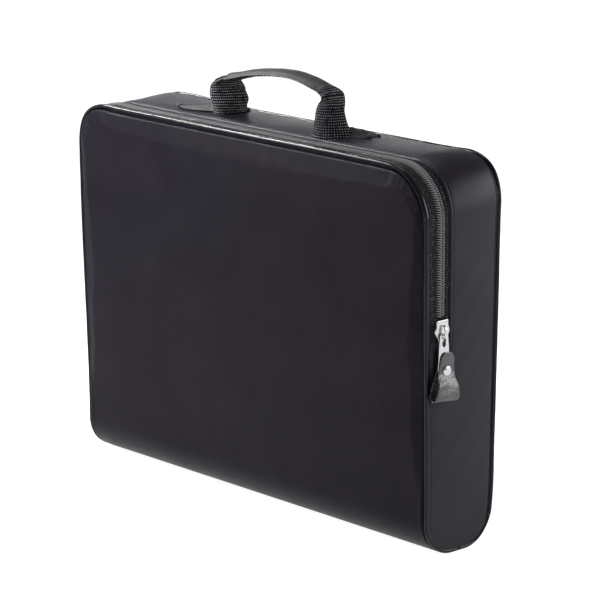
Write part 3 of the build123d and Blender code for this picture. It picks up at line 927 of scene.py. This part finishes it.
def tape(name, low, high, body, node):
    """One side of the zipper tape: a band with cosine ribs along its length and a bell for its cord."""
    line, normal, _ = arch(TAPE_DEPTH, ZIP_LOW, 2.5 * MM)
    y = np.linspace(low, high, 34)
    from_chain = np.abs(y - ZIP_Y) / MM
    ribs = 0.22 * np.cos(2 * np.pi * from_chain / 2.1) * smooth_step(5.6, 6.4, from_chain)
    cord = 0.5 * near(from_chain, 6.6, 0.8)
    rise = np.broadcast_to(((ribs + cord) * MM)[None], (len(line), len(y)))
    outer = line[:, None] + normal[:, None] * rise[..., None]
    inner = line[:, None] - normal[:, None] * TAPE_THICK + 0 * outer
    outer[..., 1] = inner[..., 1] = y
    piece = dress(shell_piece(name, outer, inner), "zip_tape")
    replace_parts(piece, node)
    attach(piece, body)


TEETH_PITCH = 2.2 * MM
TEETH_SINK = 0.9 * MM  # the chain's level below the case's outline


def teeth(name, side, body, node):
    """One half of the coil chain: a tooth for each turn, leaning towards the other half. Each is a six-sided
    bead whose rings widen to a rounded head, between the heads opposite, and sink to a foot at the tape."""
    line, normal, s = arch(TEETH_SINK, TEETH_LOW, 1 * MM)
    at = np.arange(0.5 + 0.25 * side, s[-1] / TEETH_PITCH - 0.5) * TEETH_PITCH
    origin = at_places(at, s, line)
    origin[:, 1] = ZIP_Y
    out = unit(at_places(at, s, normal))
    lean = unit(np.zeros_like(out) + (0, side, 0) + 0.28 * np.cross(out, (0, 1.0, 0)))
    reach = np.array([-0.75, -0.45, 0.7, 2.1, 3.2, 4.2, 5.0])[:, None] * MM
    sink = np.array([0.7, 0.55, 0.35, 0.0, 0.15, 0.7, 1.3])[:, None] * MM
    wide = np.array([0.3, 0.5, 0.5, 0.66, 0.6, 0.5, 0.4])[:, None] * MM
    tall = np.array([0.4, 0.6, 0.62, 0.75, 0.7, 0.6, 0.4])[:, None] * MM
    turn = whole_turn(BEAD_SIDES)[None] + math.pi / BEAD_SIDES
    rings = np.stack([reach + 0 * turn, wide * np.cos(turn), tall * np.sin(turn) - sink], -1)
    axes = np.stack([lean, np.cross(out, lean), out], 1)
    piece = repeated_piece(name, rings.reshape(-1, 3), bead_cells(len(reach)), origin, axes)
    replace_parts(dress(piece, "zip_coil"), node)
    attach(piece, body)


def make_placket():
    """Facing behind the slanted edge of the gusset: a recessed strip from the front seam to under the slant,
    with soft upright folds, that closes the slit below the zipper."""
    z = np.linspace(SLANT_LOW - 6 * MM, ZIP_LOW + 4 * MM, 60)
    c = np.linspace(0, 1, 40)
    back = gusset_front(z) + 5 * MM
    front = -GUSSET_REAR + 3 * MM * smooth_step(ZIP_LOW - 24 * MM, ZIP_LOW + 4 * MM, z) ** 2
    y = front[:, None] + (back - front)[:, None] * c[None]
    folds = 0.35 * MM * np.cos(2 * np.pi * (y + GUSSET_REAR) / (5.2 * MM))
    folds = folds + 0.25 * MM * ripple(z, 61, 6, 0.01, 0.05)[:, None]
    depth = 1.9 * MM - folds
    height = np.broadcast_to(z[:, None], y.shape)
    facing_thick = 0.9 * MM
    for side, label in ((1, "right"), (-1, "left")):
        outer = np.stack([side * (HALF_W - depth), y, height], -1)
        inner = outer - (side * facing_thick, 0, 0)
        facing = dress(shell_piece(f"zip_facing_{label}", outer, inner), "gusset_nylon")
        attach(facing, "case")


def make_zipper():
    under_hem = 1.0 * MM
    tape("zip_tape_front_cloth", -GUSSET_REAR, ZIP_Y - CHAIN_HALF, "front_flap", "zip_tape_front")
    tape("zip_tape_rear_cloth", ZIP_Y + CHAIN_HALF, HEM_Y + under_hem, "case", "zip_tape_rear")
    teeth("zip_teeth_front", -1, "front_flap", "zip_coil_front")
    teeth("zip_teeth_rear", 1, "case", "zip_coil_rear")
    coat_node("tape_ends_front", "zip_tape")
    coat_node("tape_ends_rear", "zip_tape")


# ---------------------------------------------------------------- slider and pull
SLIDER_LOW_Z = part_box("slider_body")[0].z
PLATE_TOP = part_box("slider_body")[1].x
PLATE_THICK = 1.2 * MM
CROWN_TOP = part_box("slider_crown")[1].x
TONGUE_LEVEL = (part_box("pull_tongue")[0].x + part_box("pull_tongue")[1].x) / 2
TONGUE_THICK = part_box("pull_tongue")[1].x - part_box("pull_tongue")[0].x
RIVET_Z = (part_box("pull_rivet")[0].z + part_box("pull_rivet")[1].z) / 2


def rounded(points, radius, per_corner=6, per_side=4):
    """A closed outline through corners, each cut by a quadratic curve, with points on the sides."""
    p = np.array(points, float)
    before, after = np.roll(p, 1, 0), np.roll(p, -1, 0)
    to_before, to_after = unit(before - p), unit(after - p)
    room = np.minimum(np.linalg.norm(before - p, axis=1), np.linalg.norm(after - p, axis=1)) * 0.45
    cut = np.minimum(np.broadcast_to(radius, len(p)), room)[:, None]
    start, end = p + to_before * cut, p + to_after * cut
    t = np.linspace(0, 1, per_corner)[None, :, None]
    arcs = (1 - t) ** 2 * start[:, None] + 2 * t * (1 - t) * p[:, None] + t**2 * end[:, None]
    following = np.roll(start, -1, 0)[:, None]
    t = np.linspace(0, 1, per_side + 2)[None, 1:-1, None]
    sides = end[:, None] * (1 - t) + following * t
    return np.concatenate([arcs, sides], 1).reshape(-1, 2)


def inset_outline(outline, amount):
    """The outline moved inwards by amount, along the mean normal of its two sides."""
    along = unit(np.roll(outline, -1, 0) - np.roll(outline, 1, 0))
    area = np.sum(outline[:, 0] * np.roll(outline[:, 1], -1) - np.roll(outline[:, 0], -1) * outline[:, 1])
    return outline + np.stack([-along[:, 1], along[:, 0]], -1) * amount * np.sign(area)


def lifted(outline, level):
    """A side-view outline (depth, height) as points at a level across the width, which may vary."""
    return np.stack([np.broadcast_to(level, len(outline)), outline[:, 0], outline[:, 1]], -1)


def rolled_edges(outline, low, high, edge, count):
    """Rings of an outline up through a plate's side: a quarter turn out at low, and one back in at high. A
    negative edge rolls a hole, which widens towards the faces."""
    round_ = np.linspace(0, math.pi / 2, count)
    out, up = abs(edge) * (1 - np.cos(round_)), abs(edge) * (1 - np.sin(round_))
    sign = math.copysign(1, edge)
    rings = [lifted(inset_outline(outline, sign * u), low + o) for o, u in zip(out, up)]
    return rings + [lifted(inset_outline(outline, sign * o), high - u) for o, u in zip(out, up)]


def plate(name, outline, low, high, edge, dome=0.0):
    """A flat plate of a side-view outline, with rolled edges and a face domed by a parabola."""
    rings = rolled_edges(outline, low, high, edge, 5)
    centre = outline.mean(0)
    for share in (0.75, 0.5, 0.25):
        inner = centre + (inset_outline(outline, edge) - centre) * share
        rings.append(lifted(inner, high + dome * (1 - share**2)))
    return tube_piece(name, np.array(rings))


def eyed_plate(name, outline, hole, low, high, edge):
    """A flat plate with one hole; the outline and the hole have matching points all round."""
    outside = rolled_edges(outline, low, high, edge, 4)
    inside = rolled_edges(hole, low, high, -edge, 4)
    return tube_piece(name, np.array(outside + inside[::-1]), closed=True)


def by_angle(outline, centre, count):
    """Points of a star-shaped outline at even angles round a centre."""
    offset = np.concatenate([outline, outline[:1]]) - centre
    turn = np.unwrap(np.arctan2(offset[:, 1], offset[:, 0]))
    even = np.linspace(0, 2 * np.pi, count, endpoint=False)
    order = np.argsort(turn)
    radius_at = [np.interp(even, turn[order], offset[order, k], period=2 * np.pi) for k in range(2)]
    return centre + np.stack(radius_at, -1)


# Height above the slider's mouth and half width of its plates: narrow mouth, wide shoulders, square tail.
SLIDER_SHAPE = MM * np.array([
    (0.0, 3.6), (4.5, 5.4), (7.0, 7.6), (9.5, 8.6), (12.0, 8.4), (14.5, 7.0), (20.0, 7.0),
])


def slider_outline():
    height, half = SLIDER_LOW_Z + SLIDER_SHAPE[:, 0], SLIDER_SHAPE[:, 1]
    right = np.stack([ZIP_Y + half, height], -1)
    left = np.stack([ZIP_Y - half, height], -1)[::-1]
    return rounded(np.concatenate([right, left]), 1.6 * MM)


def bar(name, centre, half_across, half_out, count=14, square=0.6):
    """A bar of rounded section along a line in a plane of constant depth, its ends drawn in."""
    along = unit(np.gradient(centre, axis=0))
    depth = np.zeros_like(along) + (0, 1, 0)
    out = np.cross(along, depth)
    across, rise = oval(square, count)
    run = lengths(centre)
    from_end = np.minimum(run, run[-1] - run) / half_out
    draw = np.sqrt(np.clip(1 - (1 - np.clip(from_end, 0, 1)) ** 2, 0.05, 1))[:, None]
    rings = swept_grid(centre, depth, out, half_across * draw * across, half_out * draw * rise)
    return tube_piece(name, rings)


def metal(piece, body, node=None):
    dress(piece, "slider_metal")
    if node is not None:
        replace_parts(piece, node)
    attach(piece, body)


def make_slider():
    """Two plates, the top one domed, flanges down the sides of the top one, a neck and the crown that holds the
    pull.
    """
    outline = slider_outline()
    low, high = PLATE_TOP - PLATE_THICK, PLATE_TOP - 0.1 * MM
    metal(plate("slider_top_plate", outline, low, high, 0.45 * MM, 0.35 * MM), "zip_slider", "slider_body")
    low = PLATE_TOP - 6.3 * MM
    metal(plate("slider_low_plate", outline, low, low + PLATE_THICK, 0.4 * MM), "zip_slider")
    height = np.linspace(0.4 * MM, 19.6 * MM, 40)
    half = np.interp(height, SLIDER_SHAPE[:, 0], SLIDER_SHAPE[:, 1]) - 0.75 * MM
    level = np.full_like(height, PLATE_TOP - 2.0 * MM)
    for side, label in ((-1, "front"), (1, "rear")):
        line = np.stack([level, ZIP_Y + side * half, SLIDER_LOW_Z + height], -1)
        metal(bar(f"slider_flange_{label}", line, 0.7 * MM, 1.25 * MM), "zip_slider")
    neck_level = np.linspace(PLATE_TOP - 5.6 * MM, PLATE_TOP - 0.6 * MM, 6)[:, None]
    turn = whole_turn(12)[None]
    neck_y, neck_z = ZIP_Y + 0.45 * MM * np.cos(turn), SLIDER_LOW_Z + 4 * MM + 2.6 * MM * np.sin(turn)
    neck = np.stack(np.broadcast_arrays(neck_level, neck_y, neck_z), -1)
    metal(tube_piece("slider_neck", neck), "zip_slider")
    root, top = PLATE_TOP - 0.5 * MM, CROWN_TOP - 0.75 * MM
    low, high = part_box("slider_crown")[0].z + 0.8 * MM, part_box("slider_crown")[1].z - 0.8 * MM
    rising = [(root, low), (root + 2.0 * MM, low - 0.05 * MM)]
    rising += [(top - 0.9 * MM, low + 0.9 * MM), (top, low + 3.4 * MM)]
    points = [(x, ZIP_Y, z) for x, z in rising]
    points += [(x, ZIP_Y, low + high - z) for x, z in rising[::-1]]
    crown = bar("slider_crown_loop", curve_through(points, 48), 1.5 * MM, 0.75 * MM)
    metal(crown, "zip_slider", "slider_crown")


def make_tongue():
    """Flat metal tongue: straight sides that widen downwards, with a pointed eye that hangs on the crown."""
    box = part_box("pull_tongue")
    top, low = box[1].z, box[0].z
    centre = np.array([ZIP_Y, top - 7.2 * MM])
    foot = (low - top) / MM
    plan = [(-4.7, 0), (4.7, 0), (6.0, -13), (7.0, foot), (-7.0, foot), (-6.0, -13)]
    corners = [2.4 * MM, 2.4 * MM, 9 * MM, 3 * MM, 3 * MM, 9 * MM]
    plan = rounded([(ZIP_Y + y * MM, top + z * MM) for y, z in plan], corners, 8, 8)
    eye = [(-2.4, -2.0), (2.4, -2.0), (2.5, -6.5), (1.9, -10.6), (0.0, -13.0), (-1.9, -10.6), (-2.5, -6.5)]
    eye = rounded([(ZIP_Y + y * MM, top + z * MM) for y, z in eye], 0.9 * MM)
    count = 72
    tongue = eyed_plate("pull_tongue_plate", by_angle(plan, centre, count), by_angle(eye, centre, count),
                        TONGUE_LEVEL - TONGUE_THICK / 2, TONGUE_LEVEL + TONGUE_THICK / 2, 0.35 * MM)
    metal(tongue, "tongue", "pull_tongue")


LEATHER_THICK = 1.3 * MM
PULL_GAP = 0.3 * MM  # between the tongue and the leather
TAB_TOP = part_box("pull_leather")[1].z + 1.4 * MM
TAB_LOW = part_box("pull_leather")[0].z + 4.2 * MM
TAB_TILT = math.radians(-6.5)  # the tab hangs a little askew about its rivet
TAB_Y = ZIP_Y + 2.2 * MM
TAB_FROM_TOP = [0, 16 * MM, 30 * MM, 38 * MM, 44 * MM]  # places down the tab, for its half widths
TAB_HALF = [7.6 * MM, 9.4 * MM, 12.0 * MM, 13.1 * MM, 13.0 * MM]
RIVET_HEAD = 4.8 * MM


def tab_line():
    """Centre line of the folded leather, seen from the front: down the outer side, out into a teardrop, round
    the bottom and up behind the tongue."""
    skin = TONGUE_THICK / 2 + PULL_GAP + LEATHER_THICK / 2
    front, back = TONGUE_LEVEL + skin, TONGUE_LEVEL - skin
    wide, low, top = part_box("pull_leather")[1].x - LEATHER_THICK / 2, TAB_LOW + LEATHER_THICK / 2, TAB_TOP
    points = [
        (front, top), (front, top - 9 * MM), (front, top - 17 * MM), (front + 1.4 * MM, top - 22.5 * MM),
        (front + 4.2 * MM, top - 27.5 * MM), (wide - 0.5 * MM, top - 33 * MM), (wide, low + 5 * MM),
        (wide - 1.4 * MM, low + 1.3 * MM), ((wide + back) / 2, low), (back + 1.2 * MM, low + 1.3 * MM),
        (back - 0.1 * MM, low + 5 * MM), (back - 0.2 * MM, top - 28 * MM), (back, top - 16 * MM), (back, top),
    ]
    return curve_through([(x, 0, z) for x, z in points], 150)


def make_tab():
    """Leather tab: a strip of even thickness along the folded line, rounded at its two ends, wide at the
    bottom, with faces cupped by a parabola and dented by ripples, then turned askew about its rivet."""
    line = tab_line()
    along = unit(np.gradient(line, axis=0))
    out = unit(np.cross(along, (0, 1.0, 0)))
    out = out if out[0, 0] > 0 else -out
    from_top = TAB_TOP - line[:, 2]
    half = np.interp(from_top, TAB_FROM_TOP, TAB_HALF)
    half = half * np.sqrt(1 - 0.82 * np.clip(1 - from_top / (6.5 * MM), 0, 1) ** 2)
    v = both_edges(2.0, 0.02, 0.12, 0.12) - 1
    y = half[:, None] * v[None]
    run = lengths(line)[:, None]
    dent = 0.45 * ripple(run + 0.6 * y, 71, 7, 0.006, 0.03) - 0.35 * (v**2)[None]
    dent = dent * smooth_step(2 * MM, 14 * MM, from_top)[:, None]
    edge = np.sqrt(np.clip(1 - np.clip((np.abs(v) - 0.93) / 0.07, 0, 1) ** 2, 0.1, 1))[None]
    grids = []
    for face in (1, -1):
        rise = face * edge * LEATHER_THICK / 2 + dent * MM * 0.6
        grid = line[:, None] + out[:, None] * rise[..., None]
        height = grid[..., 2] - RIVET_Z
        grid[..., 1] = TAB_Y + y * math.cos(TAB_TILT) - height * math.sin(TAB_TILT)
        grid[..., 2] = RIVET_Z + y * math.sin(TAB_TILT) + height * math.cos(TAB_TILT)
        grids.append(grid)
    leather = dress(shell_piece("pull_leather_tab", *grids), "pull_leather")
    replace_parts(leather, "pull_leather")
    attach(leather, "tab")
    outer_half = (from_top > 2.5 * MM) & (np.arange(len(line)) < len(line) // 2)
    for aim, label in ((-0.84, "front"), (0.84, "rear")):
        seam = grids[0][outer_half][:, int(np.argmin(np.abs(v - aim)))]
        stitches(f"pull_stitches_{label}", seam, out[outer_half], 2.3 * MM, 1.6 * MM, 0.2 * MM, "tab")
    make_rivet()


def make_rivet():
    """Domed head, a shank through the pull and a disc behind: one profile of levels and radii, spun."""
    face = TONGUE_LEVEL + TONGUE_THICK / 2 + PULL_GAP + LEATHER_THICK
    back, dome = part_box("pull_rivet")[0].x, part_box("pull_rivet")[1].x - face
    turn = np.linspace(0.06, math.pi / 2, 8)
    head = np.stack([face + dome * np.cos(turn) ** 0.7, RIVET_HEAD * np.sin(turn)], -1)
    shank, disc = 1.5 * MM, 2.8 * MM
    rest = [
        (face - 0.15 * MM, RIVET_HEAD - 0.1 * MM), (face - 0.2 * MM, shank), (back + 0.7 * MM, shank),
        (back + 0.6 * MM, disc - 0.1 * MM), (back + 0.2 * MM, disc), (back, disc - 0.4 * MM),
    ]
    level, radius = np.concatenate([head, rest]).T[..., None]
    around = whole_turn(32)[None]
    rings = [level, TAB_Y + radius * np.cos(around), RIVET_Z + radius * np.sin(around)]
    rings = np.stack(np.broadcast_arrays(*rings), -1)
    metal(tube_piece("pull_rivet_domed", rings, sharp=40), "tab", "pull_rivet")


# ---------------------------------------------------------------- handle
PATCH_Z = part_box("handle_patch_left")[0].z
LEG_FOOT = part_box("handle_leg_left")[0].z


def top_surface(x, y):
    """Height of the gusset's top at a place, without its small ripples."""
    v = 2 * (y - HEM_Y) / (GUSSET_REAR - HEM_Y) - 1
    return PATCH_Z + TOP_CROWN * (1 - np.clip(v, -1, 1) ** 2)


# Each leg's strap in millimetres, by height: five places across it, from its front edge to its rear edge.
# It stands on the top as a folded corner, and turns over into a flat strap across the depth at the grip.
LEG_SECTIONS = {
    "left": [
        [(-93, 0, 349), (-84, -3, 349), (-75, -3, 349), (-70, 6, 350), (-72, 17, 350)],
        [(-92, -1, 358), (-84, -6, 358), (-75, -5, 358), (-68, 6, 358), (-66, 17, 358)],
        [(-91, -1, 366), (-85, -8, 366), (-77, -6, 366), (-68, 6, 366), (-63, 18, 366)],
        [(-91, -1, 373), (-86, -8, 373), (-79, -6, 373), (-70, 6, 373), (-65, 17, 373)],
        [(-86, -5, 378), (-84, -8, 379), (-79, -6, 380), (-73, 5, 380), (-68, 18, 378)],
        [(-78, -10, 382.5), (-80, -6, 384), (-79, 0, 385.5), (-76, 7, 386), (-72, 15, 385)],
        [(-69, -10.5, 386), (-70, -6, 387), (-70, 0, 388), (-69, 6.5, 388.5), (-68, 12.5, 388)],
        [(-58, -10.5, 390), (-58, -6, 391), (-58, 0, 391.4), (-58, 6, 391.2), (-58, 10.5, 390.6)],
    ],
    "right": [
        [(53, -9, 349), (64, -13, 349), (75, -12, 349), (85, -6, 350), (94, 4, 350)],
        [(56, -10, 358), (65, -13, 358), (74, -11, 358), (82, -4, 358), (88, 5, 358)],
        [(58, -10, 366), (66, -13, 366), (74, -10, 366), (79, -3, 366), (82, 6, 366)],
        [(60, -10, 374), (67, -12, 374), (74, -8, 374), (78, -2, 374), (80, 6, 374)],
        [(63, -10, 380), (69, -11, 380), (75, -7, 381), (79, -1, 381), (80, 7, 381)],
        [(68, -12, 386), (72, -8, 387), (75.5, -2, 387.5), (77, 4, 387.5), (76, 9, 387)],
        [(64, -11, 390), (67, -6, 391), (69, 0, 391.6), (70, 6, 391.6), (69, 10.5, 391)],
        [(56, -10.5, 393.6), (56, -6, 394.6), (56, 0, 395), (56, 6, 395), (56, 10.5, 394.6)],
    ],
}
WEBBING_HALF = 1.2 * MM  # half of the webbing's thickness


def make_leg(label):
    """Webbing leg: a thick ribbed sheet through its sections, smooth both ways, with rounded edges."""
    sections = np.array(LEG_SECTIONS[label]) * MM
    rows = spline(sections, np.linspace(0, len(sections) - 1, 170))
    v = np.linspace(-1, 1, 41)
    middle = np.moveaxis(spline(np.moveaxis(rows, 1, 0), (v + 1) * 2), 0, 1)
    normal = unit(np.cross(np.gradient(middle, axis=0), np.gradient(middle, axis=1)))
    run = lengths(middle[:, 20])[:, None]
    ribs = 0.34 * MM * np.cos(2 * np.pi * run / RIB_PITCH) * (1 - v**8)[None]
    soft = 0.7 * MM * ripple(run + 0.01 * v[None], 81, 6, 0.015, 0.05) * np.abs(v)[None] ** 2
    edge = np.sqrt(np.clip(1 - v**12, 0.12, 1))[None]
    faces = [middle + normal * (soft + side * (WEBBING_HALF * edge + ribs))[..., None] for side in (1, -1)]
    ring = np.concatenate([faces[0], faces[1][:, ::-1]], 1)
    leg = dress(tube_piece(f"handle_leg_{label}_webbing", ring), "webbing")
    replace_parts(leg, f"handle_leg_{label}")
    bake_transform(leg)


# The grip's bow in millimetres: places along X and heights over the feet of the legs.
GRIP_BOW = [
    (-66, 35.8), (-56, 38.2), (-44, 41.2), (-28, 44.8), (0, 48.2),
    (22, 48.7), (42, 46.2), (56, 42.6), (65, 39.2),
]
GRIP_HALF = 12.8 * MM
GRIP_THICK = 3.5 * MM
GRIP_SEAM = 0.84  # share of the half width at which the sleeve is stitched


def make_grip():
    """Vinyl sleeve: a flattened section along a bow, thin at its two stitched edges, creased by ripples near
    its ends, rolled there by a bell and sagging at its edges by a parabola."""
    line = curve_through([(x * MM, 0, LEG_FOOT + z * MM) for x, z in GRIP_BOW], 190)
    along = unit(np.gradient(line, axis=0))
    out = unit(np.cross((0, 1.0, 0), along))
    out = out if out[len(out) // 2, 2] > 0 else -out
    run = lengths(line)[:, None]
    from_end = np.minimum(run, run[-1] - run)
    turn = whole_turn(44)
    across, rise = np.sign(np.cos(turn)) * np.abs(np.cos(turn)) ** 0.7, np.sin(turn)
    stitched = 1 - 0.2 * near(np.abs(across), GRIP_SEAM, 0.05)
    lens = rise * (0.42 + 0.58 * (1 - np.abs(across) ** 2.6)) * stitched
    crease = 0.32 * MM * ripple(run, 91, 9, 0.004, 0.012) * smooth_step(26 * MM, 8 * MM, from_end)
    crease += 0.22 * MM * ripple(run, 93, 6, 0.02, 0.08)
    thick = GRIP_THICK + crease + 0.4 * MM * smooth_step(16 * MM, 5 * MM, from_end)
    thick = thick + 0.5 * MM * near(from_end, 2.2 * MM, 1.2 * MM)
    sag = -1.3 * MM * across[None] ** 2
    rings = line[:, None] + out[:, None] * (thick * lens + sag)[..., None]
    half = GRIP_HALF - 1.4 * MM * smooth_step(14 * MM, 0, from_end)
    rings[..., 1] = half * across[None] + 0.35 * MM * ripple(run, 95, 6, 0.03, 0.1)
    grip = dress(tube_piece("handle_grip_sleeve", rings), "grip_vinyl")
    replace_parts(grip, "handle_grip", "handle_core")
    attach(grip, "handle")
    for label, aim in (("rear", GRIP_SEAM), ("front", -GRIP_SEAM)):
        column = int(np.argmin(np.abs(across - aim) + 9 * (rise < 0)))
        seam = rings[8:-8, column]
        stitches(f"grip_stitches_{label}", seam, out[8:-8], 3.2 * MM, 2.3 * MM, 0.28 * MM, "handle")


# Each patch in millimetres: place along X, place along Y and half width, at its end and at its root.
PATCH_ENDS = {"left": (-137, -4, 1.6), "right": (108, 12, 8.0)}
PATCH_ROOTS = {"left": (-70, 10, 12.5), "right": (62, 9, 12.5)}


def make_patch(label, side):
    """Leaf-shaped vinyl patch over the end of the webbing: a strip that narrows by a power towards its end,
    laid on the crowned top, raised over the webbing, with cosine folds that run together and ripples."""
    tip, end_y, end_half = (value * MM for value in PATCH_ENDS[label])
    root, start_y, start_half = (value * MM for value in PATCH_ROOTS[label])
    a = np.concatenate([np.linspace(0, 0.06, 5)[:-1], np.linspace(0.06, 0.94, 60)])
    a = np.concatenate([a, np.linspace(0.94, 1, 6)[1:]])
    v = np.linspace(-1, 1, 41)
    x = root + (tip - root) * a
    half = end_half + (start_half - end_half) * np.clip(1 - a**1.4, 0, 1) ** 0.8
    centre = start_y + (end_y - start_y) * smooth_step(0.1, 1.0, a)
    y = centre[:, None] + half[:, None] * v[None]
    x = np.broadcast_to(x[:, None], y.shape)
    run_in = smooth_step(0.05, 0.4, a) * (1 - 0.55 * smooth_step(0.75, 1.0, a))
    folds = 0.75 * np.cos(4.6 * v[None] + 1.1 + 1.4 * a[:, None])
    folds = folds + 0.5 * np.cos(9.3 * v[None] - 2 * a[:, None])
    folds = folds * run_in[:, None] * (1 - v**6)[None]
    crumple = 0.55 * ripple(x * 1.1 + y * 0.7, 101 + side, 8, 0.006, 0.03) * (1 - v**8)[None]
    over_tail = 1.8 * smooth_step(0.8, 0.5, a)[:, None] * (1 - np.abs(v) ** 6)[None]
    edge = -0.55 * smooth_step(0.9, 1.0, np.abs(v))[None] + 0 * x
    ground = top_surface(x, np.maximum(y, HEM_Y))
    climb = 3.0 * smooth_step(0.62, 0.3, a)[:, None] * near(v[None], -0.1, 0.5**0.5)
    rise = 1.7 + folds * 1.3 + crumple + over_tail + edge + climb
    outer = np.stack([x, y, ground + rise * MM], -1)
    inner = np.stack([x, y, ground - 0.1 * MM + 0.3 * over_tail * MM], -1)
    patch = dress(shell_piece(f"handle_patch_{label}_leaf", outer, inner), "patch_vinyl")
    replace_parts(patch, f"handle_patch_{label}", f"handle_tail_{label}")
    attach(patch, "case")
    up = np.zeros((len(a), 3)) + (0, 0, 1)
    for name, k in (("front", 3), ("rear", 37)):
        seam = outer[3:-3, k]
        stitches(f"patch_stitches_{label}_{name}", seam, up[3:-3], 3.0 * MM, 2.1 * MM, 0.3 * MM, "case")
    if label == "left":
        make_tack(np.array([tip, centre[-1], top_surface(tip, centre[-1]) + 1.4 * MM]))


def make_tack(place):
    """Knot of thread at the left patch's tip: a thick lumpy cord along a sine, three times across it."""
    t = np.linspace(0, 1, 80)
    line = place + np.stack([
        (2.4 - 3.4 * t) * MM,
        2.3 * MM * np.sin(t * 6 * math.pi),
        0.9 * MM * np.abs(np.cos(t * 6 * math.pi)),
    ], -1)
    along = unit(np.gradient(line, axis=0))
    across = unit(np.cross(along, (0, 0, 1.0)))
    turn = whole_turn(10)
    radius = (0.75 * MM * (1 + 0.2 * np.sin(t * 40)))[:, None]
    rings = swept_grid(line, across, np.cross(across, along), radius * np.cos(turn), radius * np.sin(turn))
    tack = tube_piece("patch_tack_left", rings)
    tack.data.materials.append(THREAD)
    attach(tack, "case")


# ---------------------------------------------------------------- the whole case
make_panels()
make_piping()
make_gusset()
make_zipper()
make_placket()
make_slider()
make_tongue()
make_tab()
for label, side in (("left", -1), ("right", 1)):
    make_leg(label)
    make_patch(label, side)
make_grip()
coat_node("handle_backing", "webbing")


# ---------------------------------------------------------------- floor, light and camera
def floor_paint():
    """Matte board, a little uneven in tone. Its own even glow makes it pale, so shadows stay faint."""
    paint = Paint("floor_paint", specular_ior_level=0.1)
    tone = paint.noise(paint.place(), 0.6, 2.0)
    paint.set("Base Color", paint.mix(tone, (0.3, 0.3, 0.3), (0.32, 0.32, 0.32)))
    paint.set("Emission Color", (1.0, 1.0, 1.0, 1.0))
    paint.set("Emission Strength", 0.96)
    paint.set("Roughness", 0.9 + tone * 0.05)
    return paint.material


def make_floor():
    reach = 30.0
    mesh = bpy.data.meshes.new("floor")
    corners = [(x * reach, y * reach, 0) for x, y in ((-1, -1), (1, -1), (1, 1), (-1, 1))]
    mesh.from_pydata(corners, [], [(0, 1, 2, 3)])
    floor = bpy.data.objects.new("floor", mesh)
    floor.location.z = -0.0002
    floor.data.materials.append(floor_paint())
    bpy.context.scene.collection.objects.link(floor)


def area_light(name, place, target, size, power):
    """A soft oblong light turned towards a point."""
    light = bpy.data.lights.new(name, "AREA")
    light.shape = "RECTANGLE"
    light.size, light.size_y = size
    light.energy = power
    lamp = bpy.data.objects.new(name, light)
    lamp.location = place
    aim = Vector(target) - Vector(place)
    lamp.rotation_euler = aim.to_track_quat("-Z", "Y").to_euler()
    bpy.context.scene.collection.objects.link(lamp)


def make_lights():
    world = bpy.data.worlds.new("studio")
    world.use_nodes = True
    background = next(n for n in world.node_tree.nodes if n.type == "BACKGROUND")
    background.inputs["Color"].default_value = (1.0, 1.0, 1.0, 1.0)
    background.inputs["Strength"].default_value = 0.3
    bpy.context.scene.world = world
    middle = (0.0, 0.0, 0.2)
    area_light("overhead", (-0.3, 0.1, 1.9), middle, (0.8, 0.8), 8)
    area_light("left_high_strip", (-1.1, -0.15, 1.25), (0.0, 0.0, 0.35), (0.07, 0.4), 22)
    area_light("left_front", (-0.42, -0.45, 0.62), (-0.16, 0.0, 0.34), (0.3, 0.3), 11)
    area_light("left_rear", (-1.7, 1.5, 0.75), (-0.1, 0.0, 0.35), (0.8, 0.5), 2.0)
    area_light("right_card", (1.05, 1.05, 0.66), (0.2, 0.0, 0.42), (1.2, 0.8), 17)
    area_light("right_front_spot", (0.95, -1.2, 0.32), (0.24, -0.03, 0.28), (0.1, 0.2), 2.5)


def make_camera():
    data = bpy.data.cameras.new("camera")
    data.lens = 177
    data.sensor_width = 36
    data.clip_start, data.clip_end = 0.1, 100
    camera = bpy.data.objects.new("camera", data)
    camera.location = (1.9688, -1.7902, 0.8315)
    aim = Vector((0.0275, 0.0, 0.1917)) - camera.location
    camera.rotation_mode = "QUATERNION"
    camera.rotation_quaternion = aim.to_track_quat("-Z", "Y")
    bpy.context.scene.collection.objects.link(camera)
    bpy.context.scene.camera = camera


make_floor()
make_lights()
make_camera()
bpy.context.scene.view_settings.view_transform = "Standard"
